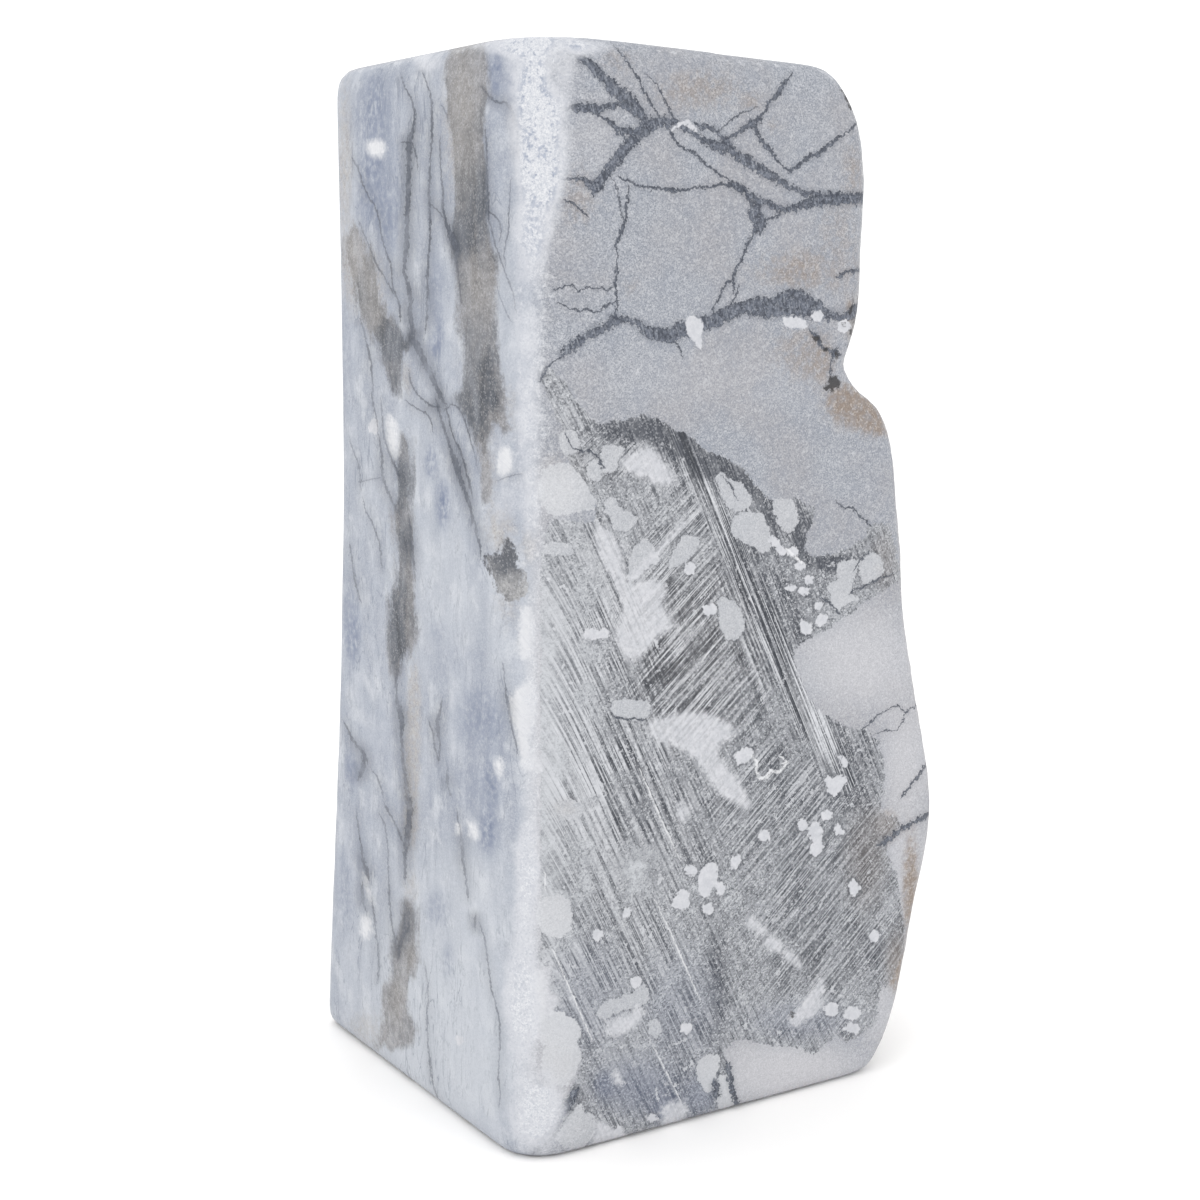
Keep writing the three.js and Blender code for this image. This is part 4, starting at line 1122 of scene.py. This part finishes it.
# %% Tint the mass
mass = add("MixRGB", left_share, front_mass, left_mass)
rust = add("MixRGB", left_share, paint("#908379"), paint("#AEAAA7"))
rust = peppered(rust, "#756B64", "#CFC9C4", 0.5)
warm_share = add("Math", warm, 0.9, **TIMES)
warm_share = add("Math", warm_share, add("MapRange", speck, 0.35, 0.6, -0.3, 0.2), **PLUS)
warm_share = add("MapRange", warm_share, 0, 1)
warm_share = add("Math", warm_share, add("MapRange", warm, 0, 0.6), **TIMES)
mass = add("MixRGB", warm_share, mass, rust)
blue_share = add("Math", blue, add("MapRange", speck, 0.34, 0.62, 0.2, 1), **TIMES)
mass = add("MixRGB", blue_share, mass, paint("#717C94"))
tell("tinted mass")

# %% [markdown]
# ### Broken edges
# A traced outline is smoother than the real one. Noise added to the stored distance, in pixels,
# breaks it up: the distance still passes 0 at one place, which gives a crisp ragged edge.
# On the sides that the photo doesn't show there is nothing traced. There a distance is made up
# from noise in space, in the same pixels, so that the same rock goes on round the corner: dark
# ground in blots and near the base, clasts in it, and one smoky band.

# %% Make up the rock of the other sides
PIXELS_PER_MM = 4.8
BEND_MM, BENT_BY_MM, BLOT_MM, CLAST_MM, BAND_MM = 30, 26, 58, 13, 8
y_place, z_place = add("SeparateXYZ", place, out=(1, 2))
bend = add("TexNoise", place, None, 1 / (BEND_MM * MM), 3, 0.55, out=1)
bend = add("VectorMath", bend, (0.5, 0.5, 0.5), **MINUS)
bend = add("VectorMath", bend, named={"Scale": BENT_BY_MM * MM}, operation="SCALE")
bent_place = add("VectorMath", place, bend, **PLUS)

blot = add("TexNoise", place, None, 1 / (BLOT_MM * MM), 2, 0.5)
low_down = add("MapRange", z_place, 60 * MM, 200 * MM, 0.02, -0.1)
made_ground = add("Math", add("Math", blot, 0.5, **MINUS), low_down, **PLUS)
made_ground = add("MapRange", made_ground, -0.04, 0.04, -REACH, REACH)

clast_far, clast_tone = add("TexVoronoi", bent_place, None, 1 / (CLAST_MM * MM), out=(0, 1))
clast_size = add("MapRange", add("SeparateXYZ", clast_tone), 0.35, 1, -0.1, 0.5)
made_clast = add("Math", clast_size, clast_far, **MINUS)
made_clast = add("Math", made_clast, CLAST_MM * PIXELS_PER_MM, **TIMES)

sheet_far = add("Math", y_place, add("MapRange", haze, 0, 1, -14 * MM, 66 * MM), **PLUS)
sheet_far = add("Math", sheet_far, operation="ABSOLUTE")
band_pixels = (6 * PIXELS_PER_MM, -2 * PIXELS_PER_MM)
made_band = add("MapRange", sheet_far, 0, BAND_MM * MM, *band_pixels, clamp=False)
tell("rock of the other sides")

# %% Make the ragged edges
rag = add("MapRange", speck, 0, 1, -5, 5, clamp=False)
rag = add("Math", rag, add("MapRange", crumb, 0, 1, -4, 4), **PLUS)
unseen = add("Math", 1, seen_share, **MINUS)


def broken(name, raggedness=1, made_up=-REACH):
    """The stored distance to a traced outline, or a made-up one where the photo shows none."""
    distance = add("Attribute", attribute_name=name, out=2)
    elsewhere = add("Math", add("Math", made_up, REACH, **PLUS), unseen, **TIMES)
    distance = add("Math", distance, elsewhere, **PLUS)
    return add("Math", distance, add("Math", rag, raggedness, **TIMES), **PLUS)


tell("ragged edges")

# %% [markdown]
# ### Saw scratches
# The saw left long straight scratches in the soft dark ground, in two directions. Noise that is
# stretched along one direction draws them: half a millimetre to a millimetre apart and a few
# centimetres long. The ones that rise to the right are finer low down. The same lines go into
# the bump, so that they catch the light.

# %% Draw the scratches
STEEP_TILT, RISING_TILT = -63, 41


def scratches(tilt, apart_mm, long_mm, detail=2):
    """Fine parallel lines in the plane of the front face, tilted by this many degrees."""
    turned_place = add("Mapping", place, None, (0, math.radians(tilt), 0))
    stretch = (1 / (long_mm * MM), 0, 1 / (apart_mm * MM))
    return add("TexNoise", add("Mapping", turned_place, None, None, stretch), None, 1, detail, 0.8)


steep_lines = scratches(STEEP_TILT, 0.65, 60)
low_share = add("MapRange", z_place, 60 * MM, 95 * MM, 1, 0)
high_lines, low_lines = scratches(RISING_TILT, 0.88, 34, 3), scratches(RISING_TILT, 0.6, 22, 2)
rising_lines = add("MixRGB", low_share, high_lines, low_lines)
lines = add("MixRGB", rising_share, steep_lines, rising_lines)
normal_y = add("SeparateXYZ", add("NewGeometry", out=1), out=1)
flat_share = add("MapRange", add("Math", normal_y, operation="ABSOLUTE"), 0.6, 0.9)
breaking = add("MapRange", speck, 0.36, 0.54, 0.6, 1)
patchy = add("MapRange", cloud, 0.4, 0.55, add("MapRange", rising_share, 0, 1, 0.15, 0.5), 1)
patchy = add("Math", patchy, steep_share, **LARGER)
fine_share = add("Math", add("Math", scratched, patchy, **TIMES), breaking, **TIMES)
fine_share = add("Math", fine_share, flat_share, **TIMES)
tell("scratches")

# %% [markdown]
# Here and there one scratch runs on alone. These are drawn where a coarse steep noise passes its
# middle value. Where the ground is darkest it is hard and took few scratches.

# %% Draw the long lone scratches
softer = add("MapRange", dark, 0.9, 1.3, 1, 0.3)
lone = add("Math", scratches(STEEP_TILT, 1.8, 150, 0), 0.5, **MINUS)
lone = add("MapRange", add("Math", lone, operation="ABSOLUTE"), 0.015, 0.08, 0.9, 0)
lone = add("Math", lone, add("MapRange", crumb, 0.38, 0.52, 0.3, 1), **TIMES)
lone_share = add("Math", 1, rising_share, **MINUS)
lone_share = add("Math", lone_share, add("MapRange", scratched, 0, 0.7), **TIMES)
lone_share = add("Math", lone_share, add("MapRange", cloud, 0.38, 0.54, 0.2, 1), **TIMES)
lone_share = add("Math", lone_share, add("MapRange", steep_share, 0, 1, 1, 0.45), **TIMES)
lone_share = add("Math", lone_share, softer, **TIMES)
lone = add("Math", add("Math", lone, lone_share, **TIMES), flat_share, **TIMES)
tell("lone scratches")

# %% [markdown]
# ### The dark ground
# The ground is clayey and runs from pale to slate grey. One number, the darkness, picks its
# colour. Its grains stand out strongly where it is dark and hardly where it is pale. The
# scratches go over it, light ones with dark grooves between, and then its rust, its blue and
# crumbs of chalk.

# %% Colour the dark ground
darkness = add("Math", dark, add("MapRange", cloud, 0, 1, -0.8, 0.8), **PLUS)
darkness = add("Math", darkness, add("MapRange", speck, 0, 1, -0.6, 0.6), **PLUS)
ground = add("MixRGB", add("MapRange", darkness, 0, 1.1), paint("#C2C5CA"), paint("#494D56"))
deep = add("MapRange", dark, 0.05, 0.6)
dark_grains = add("MapRange", grain, 0.34, 0.5, add("MapRange", deep, 0, 1, 0.1, 0.6), 0)
ground = add("MixRGB", dark_grains, ground, paint("#434750"))
strewn = add("MapRange", softer, 0.3, 1, 0.5, 1)
strewn = add("Math", add("MapRange", deep, 0, 1, 0.15, 0.65), strewn, **TIMES)
ground = peppered(ground, "#31353E", "#D6D8DC", strewn)
light_lines = add("Math", add("MapRange", lines, 0.515, 0.555), fine_share, **TIMES)
light_lines = add("Math", light_lines, softer, **TIMES)
dark_lines = add("Math", add("MapRange", lines, 0.45, 0.5, 1, 0), fine_share, **TIMES)
dark_lines = add("Math", dark_lines, add("MapRange", dark, 0.1, 0.7, 0.3, 1), **TIMES)
ground = add("MixRGB", dark_lines, ground, paint("#31353D"))
ground = add("MixRGB", add("Math", light_lines, lone, **LARGER), ground, paint("#D2D4D9"))
ground = add("MixRGB", add("Math", warm, 0.5, **TIMES), ground, paint("#857A72"))
ground = add("MixRGB", add("Math", blue, 0.6, **TIMES), ground, paint("#66718C"))
chalk_crumbs = add("MapRange", speck, 0.61, 0.65, 0, 0.8)
chalk_crumbs = add("Math", chalk_crumbs, add("MapRange", cloud, 0.45, 0.6), **TIMES)
ground = add("MixRGB", chalk_crumbs, ground, paint("#CBCDD2"))
in_ground = add("MapRange", broken("ground", 0.7, made_ground), -0.8, 0.8, **SMOOTH)
colour = add("MixRGB", in_ground, mass, ground)
tell("dark ground")

# %% [markdown]
# ### Bands, plates and chalk
# The bands of the left face are smoky: their rims follow the streaks of the rock. The plates and
# the small chalk clasts are crisp, with a faint dark rim in the ground. The large chalk ones are
# smeared, and the saw's lines show through them. Near the frosted edge the chalk is whitest.

# %% Add the bands
band = add("MixRGB", add("MapRange", darkness, -0.1, 0.95), paint("#A39F9D"), paint("#41464F"))
band = add("MixRGB", add("Math", warm, 0.5, **TIMES), band, paint("#9B9792"))
band = add("MixRGB", add("MapRange", grain, 0.34, 0.52, 0.3, 0), band, paint("#4C4F56"))
band = peppered(band, "#4F535B", "#C3C3C5", 0.3)
smoky_rim = add("MapRange", streak, 0.3, 0.7, -6, 6)
band_distance = add("Math", broken("bands", 0.5, made_band), smoky_rim, **PLUS)
band_share = add("MapRange", streak, 0.36, 0.62, 1, 0.75)
band_share = add("Math", band_share, add("MapRange", darkness, 0, 0.4, 0.8, 1), **TIMES)
band_share = add("Math", add("MapRange", band_distance, -5, 4, **SMOOTH), band_share, **TIMES)
colour = add("MixRGB", band_share, colour, band)
patch = add("MixRGB", darkness, paint("#B4B3B2"), paint("#4A4D54"))
patch = peppered(patch, "#3E4148", "#BDBEC2", 0.35)
colour = add("MixRGB", add("MapRange", broken("jagged"), -1.5, 1.5, 0, 0.9), colour, patch)
tell("bands")

# %% Add the plates and the chalk
plate = add("MixRGB", add("MapRange", grain, 0.34, 0.66), paint("#B4B6BB"), paint("#CBCDD1"))
plate = add("MixRGB", 0.25, peppered(plate, "#90949D", "#D8D9DC", 0.3), mass)
plate = add("MixRGB", add("Math", pale, 0.6, **TIMES), plate, paint("#D5D7DB"))
chalk = add("MixRGB", add("MapRange", speck, 0.34, 0.66), paint("#C3C5CB"), paint("#D1D2D7"))
chalk = peppered(chalk, "#AEB2B9", "#E2E3E6", 0.2)
made_clast = add("Math", made_clast, add("MapRange", in_ground, 0, 1, -REACH, 0), **PLUS)
plate_distance = broken("plates", 0.6, made_clast)
chalk_distance = broken("chalk", 0.6)
nearest_clast = add("Math", plate_distance, chalk_distance, **LARGER)
rim = add("MapRange", nearest_clast, -5, -2.8, 0, 0.4, **SMOOTH)
rim = add("Math", add("Math", rim, in_ground, **TIMES), add("MapRange", dark, 0.3, 0.8), **TIMES)
colour = add("MixRGB", rim, colour, paint("#3F434C"))
colour = add("MixRGB", add("MapRange", plate_distance, -3.2, -1.6, **SMOOTH), colour, plate)
wisps = add("MapRange", crumb, 0.3, 0.6, 0.8, 1)
wisps = add("Math", wisps, add("MapRange", lines, 0.42, 0.5, 0.8, 1), **TIMES)
in_cloud = add("MapRange", broken("clouds", 0.65), -4, 4.5, **SMOOTH)
whiteness = add("Math", left_share, add("MapRange", frost, 0.1, 0.7), **LARGER)
white_chalk = add("MixRGB", whiteness, chalk, paint("#DCDDE0"))
colour = add("MixRGB", add("Math", in_cloud, wisps, **TIMES), colour, white_chalk)
colour = add("MixRGB", add("MapRange", chalk_distance, -2, -0.4, **SMOOTH), colour, chalk)
tell("plates and chalk")

# %% [markdown]
# The natural side was never cut, so its crystals are all bruised: it is paler and more mottled,
# with brown-grey dust in the hollows and white knocks on the lumps.

# %% Weather the natural side
weathered = add("MixRGB", add("MapRange", cloud, 0.38, 0.6), paint("#9E9791"), paint("#C3C1C1"))
weathered = add("MixRGB", add("MapRange", speck, 0.42, 0.62), weathered, paint("#CFCFD2"))
weathered = peppered(weathered, "#7D7771", "#E4E4E6", 0.5)
weathered_share = add("MapRange", add("Math", cloud, crumb, **PLUS), 0.85, 1.15, 0.1, 0.7)
colour = add("MixRGB", add("Math", skin_share, weathered_share, **TIMES), colour, weathered)
tell("weathering")

# %% [markdown]
# ### Veins
# The clay of the veins is slate blue, with dark borders and a fine lighter grain along it. On
# the front the veins are crisp. On the left face they lie deeper in the stone and look soft, so
# there they shake less, are wider at the rim and fade in places.

# %% Mix the clay of the veins
vein_lines = scratches(-74, 0.7, 9)
vein_colour = add("MixRGB", add("MapRange", crumb, 0.38, 0.62), paint("#656B78"), paint("#363C49"))
vein_lines = add("MapRange", vein_lines, 0.54, 0.66, 0, 0.5)
vein_colour = add("MixRGB", vein_lines, vein_colour, paint("#A9AEB7"))
vein_colour = peppered(vein_colour, "#262B36", "#A4A9B3", 0.4)
vein_colour = add("MixRGB", add("Math", left_share, 0.7, **TIMES), vein_colour, paint("#424855"))
shake = add("MapRange", speck, 0, 1, -7, 7, clamp=False)
shake = add("Math", shake, add("MapRange", crumb, 0, 1, -6, 6, clamp=False), **PLUS)
calmness = add("MapRange", left_share, 0, 1, 1, 0.5)
thinning = add("MapRange", left_share, 0, 1, 0.92, 0.75)
softness = add("MapRange", left_share, 0, 1, 0.7, 1.1)
halo_reach = add("MapRange", left_share, 0, 1, 6, 11)
halo_share = add("MapRange", left_share, 0, 1, 0.3, 0.55)
fading = add("MapRange", cloud, 0.36, 0.56, 0.65, 1)
fading = add("Math", add("MapRange", dark, 0.2, 1, 0.6, 1), fading, **TIMES)
strength = add("MapRange", left_share, 0, 1, 1, fading)
tell("clay of the veins")

# %% [markdown]
# The traced veins come from the stored layers. On the other sides, veins run where the walls of
# bent Voronoi cells are: a net of wide ones and a finer net of hairlines. Noise gives the half
# width, and where it is below 0 there is none.

# %% Gather the veins
to_draw = []
for number in range(VEIN_LAYERS):
    stored = add("Attribute", attribute_name=f"veins_{number}", out=1)
    to_draw.append(add("SeparateXYZ", stored, out=(0, 1, 2)))
for cell_mm, widening, thin, thick in ((55, haze, -5, 7), (26, haze, 1.8, -2.2)):
    wall = add("TexVoronoi", bent_place, None, 1 / (cell_mm * MM), feature="DISTANCE_TO_EDGE")
    wall = add("Math", wall, cell_mm * PIXELS_PER_MM, **TIMES)
    wall = add("MapRange", unseen, 0.5, 1, REACH, wall)
    to_draw.append((wall, wall, add("MapRange", widening, 0.38, 0.64, thin, thick)))
print("sets of veins:", len(to_draw))

# %% [markdown]
# Each set is drawn the same way. The signed distance, less the half width, is below 0 inside the
# vein, and noise shakes it. The plain distance limits the line to where a vein really is, and
# carries the soft halo beside it.

# %% Draw the veins
for signed, plain, half in to_draw:
    swing = add("Math", shake, add("MapRange", half, 0, 4, 0.3, 0.7), **TIMES)
    swing = add("Math", swing, calmness, **TIMES)
    across = add("Math", add("Math", signed, swing, **PLUS), operation="ABSOLUTE")
    across = add("Math", across, add("Math", half, thinning, **TIMES), **MINUS)
    beside = add("Math", plain, half, **MINUS)
    close = add("MapRange", beside, 2, 4.5, 1, 0, **SMOOTH)
    outer = add("Math", softness, -1, **TIMES)
    line = add("Math", add("MapRange", across, outer, softness, 0.95, 0, **SMOOTH), close, **TIMES)
    halo = add("MapRange", beside, -3, halo_reach, halo_share, 0, **SMOOTH)
    halo = add("Math", halo, add("MapRange", half, 0, 2.5), **TIMES)
    border = add("MapRange", across, -2.2, -0.2, 0, 0.75, **SMOOTH)
    core = add("MixRGB", border, vein_colour, paint("#343A46"))
    vein_share = add("Math", add("Math", line, halo, **LARGER), strength, **TIMES)
    colour = add("MixRGB", vein_share, colour, core)
tell("veins")

# %% [markdown]
# A few flakes of chalk lie over the veins, and thin white lines cross the ground where the rock
# healed last. The lines are drawn as the veins are, nearly straight and with gaps.

# %% Add the white flakes and lines
colour = add("MixRGB", add("MapRange", broken("flakes", 0.4), -1, 0.4, **SMOOTH), colour, chalk)
stored = add("Attribute", attribute_name="white_lines", out=1)
signed, plain, half = add("SeparateXYZ", stored, out=(0, 1, 2))
across = add("Math", signed, add("Math", shake, 0.15, **TIMES), **PLUS)
across = add("Math", across, operation="ABSOLUTE")
white = add("MapRange", add("Math", across, half, **MINUS), -0.6, 0.6, 0.9, 0)
close = add("MapRange", add("Math", plain, half, **MINUS), 1.5, 3, 1, 0)
white = add("Math", white, close, **TIMES)
white = add("Math", white, add("MapRange", crumb, 0.4, 0.5, 0.35, 1), **TIMES)
colour = add("MixRGB", white, colour, paint("#E2E3E6"))
tell("flakes and lines")

# %% [markdown]
# ### Wear
# Knocks crushed the crystals along the edges. Most of that is a thin white veil, and where the
# frost value is highest a crust of crushed grains lies on it, with clear bluish specks left in
# between high up on the near edge. Last come the small black pits.

# %% Frost the edges
smooth_frost = add("Math", frost, add("MapRange", cloud, 0.35, 0.6, 0.75, 1.15), **TIMES)
smooth_frost = add("MapRange", smooth_frost, 0.15, 0.75, 0, 0.85, **SMOOTH)
veil = peppered(paint("#CED0D6"), "#A9AFBC", "#DFE0E4", 0.35)
colour = add("MixRGB", smooth_frost, colour, veil)
crust = add("MapRange", frost, 0.6, 1, -0.6, 0.2)
crust = add("Math", crust, add("MapRange", speck, 0.25, 0.75), **PLUS)
crust = add("Math", crust, add("MapRange", crumb, 0, 1, -0.8, 0.8), **PLUS)
crust_share = add("MapRange", crust, 0.2, 0.6, 0, 0.9)
crust_share = add("Math", crust_share, add("MapRange", frost, 0.6, 0.85, **SMOOTH), **TIMES)
edge_level = add("Math", add("Math", edge_share, 0.3, **TIMES), speck, **PLUS)
edge_frost = add("MapRange", edge_level, 0.72, 0.95, 0, 0.5, **SMOOTH)
crushed = add("MixRGB", add("MapRange", grain, 0.36, 0.62), paint("#C2C6CE"), paint("#E0E1E4"))
crushed = peppered(crushed, "#A3AAB9", "#E8E8EA", 0.4)
colour = add("MixRGB", add("Math", crust_share, edge_frost, **LARGER), colour, crushed)
blue_share = add("MapRange", crust, 0.4, 0.1, 0, 0.7)
blue_share = add("Math", add("MapRange", frost, 0.7, 0.9), blue_share, **TIMES)
high_up = add("MapRange", z_place, 110 * MM, 170 * MM, 0.15, 1)
blue_share = add("Math", blue_share, high_up, **TIMES)
blue_specks = peppered(paint("#949EB2"), "#737D92", "#C5CAD3", 0.5)
colour = add("MixRGB", blue_share, colour, blue_specks)
colour = add("MixRGB", add("MapRange", broken("pits", 0.6), -1, 1, 0, 0.9), colour, paint("#2A292B"))
tell("frost and pits")

# %% [markdown]
# ### The skin
# The studio light is a little brighter than 1, so all the colours are darkened alike. Grain,
# scratches and the roughness of the natural side go into the bump. The satin skin gets gypsum's
# own IOR of 1.52, a middling roughness from the tumbling, and a weak highlight, as the surface
# is slightly dusty.

# %% Put the shader together
LIGHT_MATCH = "#EBEBEB"
colour = add("MixRGB", 1, colour, paint(LIGHT_MATCH), blend_type="MULTIPLY")
line_height = add("Math", add("Math", lines, fine_share, **TIMES), in_ground, **TIMES)
height = add("Math", add("Math", grain, 0.3, **TIMES), line_height, **PLUS)
rough_skin = add("Math", add("Math", speck, 3, **TIMES), skin_share, **TIMES)
height = add("Math", height, rough_skin, **PLUS)
bump = add("Bump", named={"Height": height, "Distance": 0.3 * MM, "Strength": 0.35})
shader = add(
    "BsdfPrincipled",
    named={
        "Base Color": colour,
        "Roughness": 0.55,
        "IOR": 1.52,
        "Specular IOR Level": 0.35,
        "Normal": bump,
    },
)
add("OutputMaterial", shader, out=())
print("nodes in the material:", len(alabaster.node_tree.nodes))

# %% [markdown]
# ## The stone in place
# The finished stone rides on the model's one body and stands for the CAD node, which is hidden.

bpy.ops.object.select_all(action="DESELECT")
stone.select_set(True)
bpy.context.view_layer.objects.active = stone
bpy.ops.object.shade_smooth()
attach(stone, "root")
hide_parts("stone")
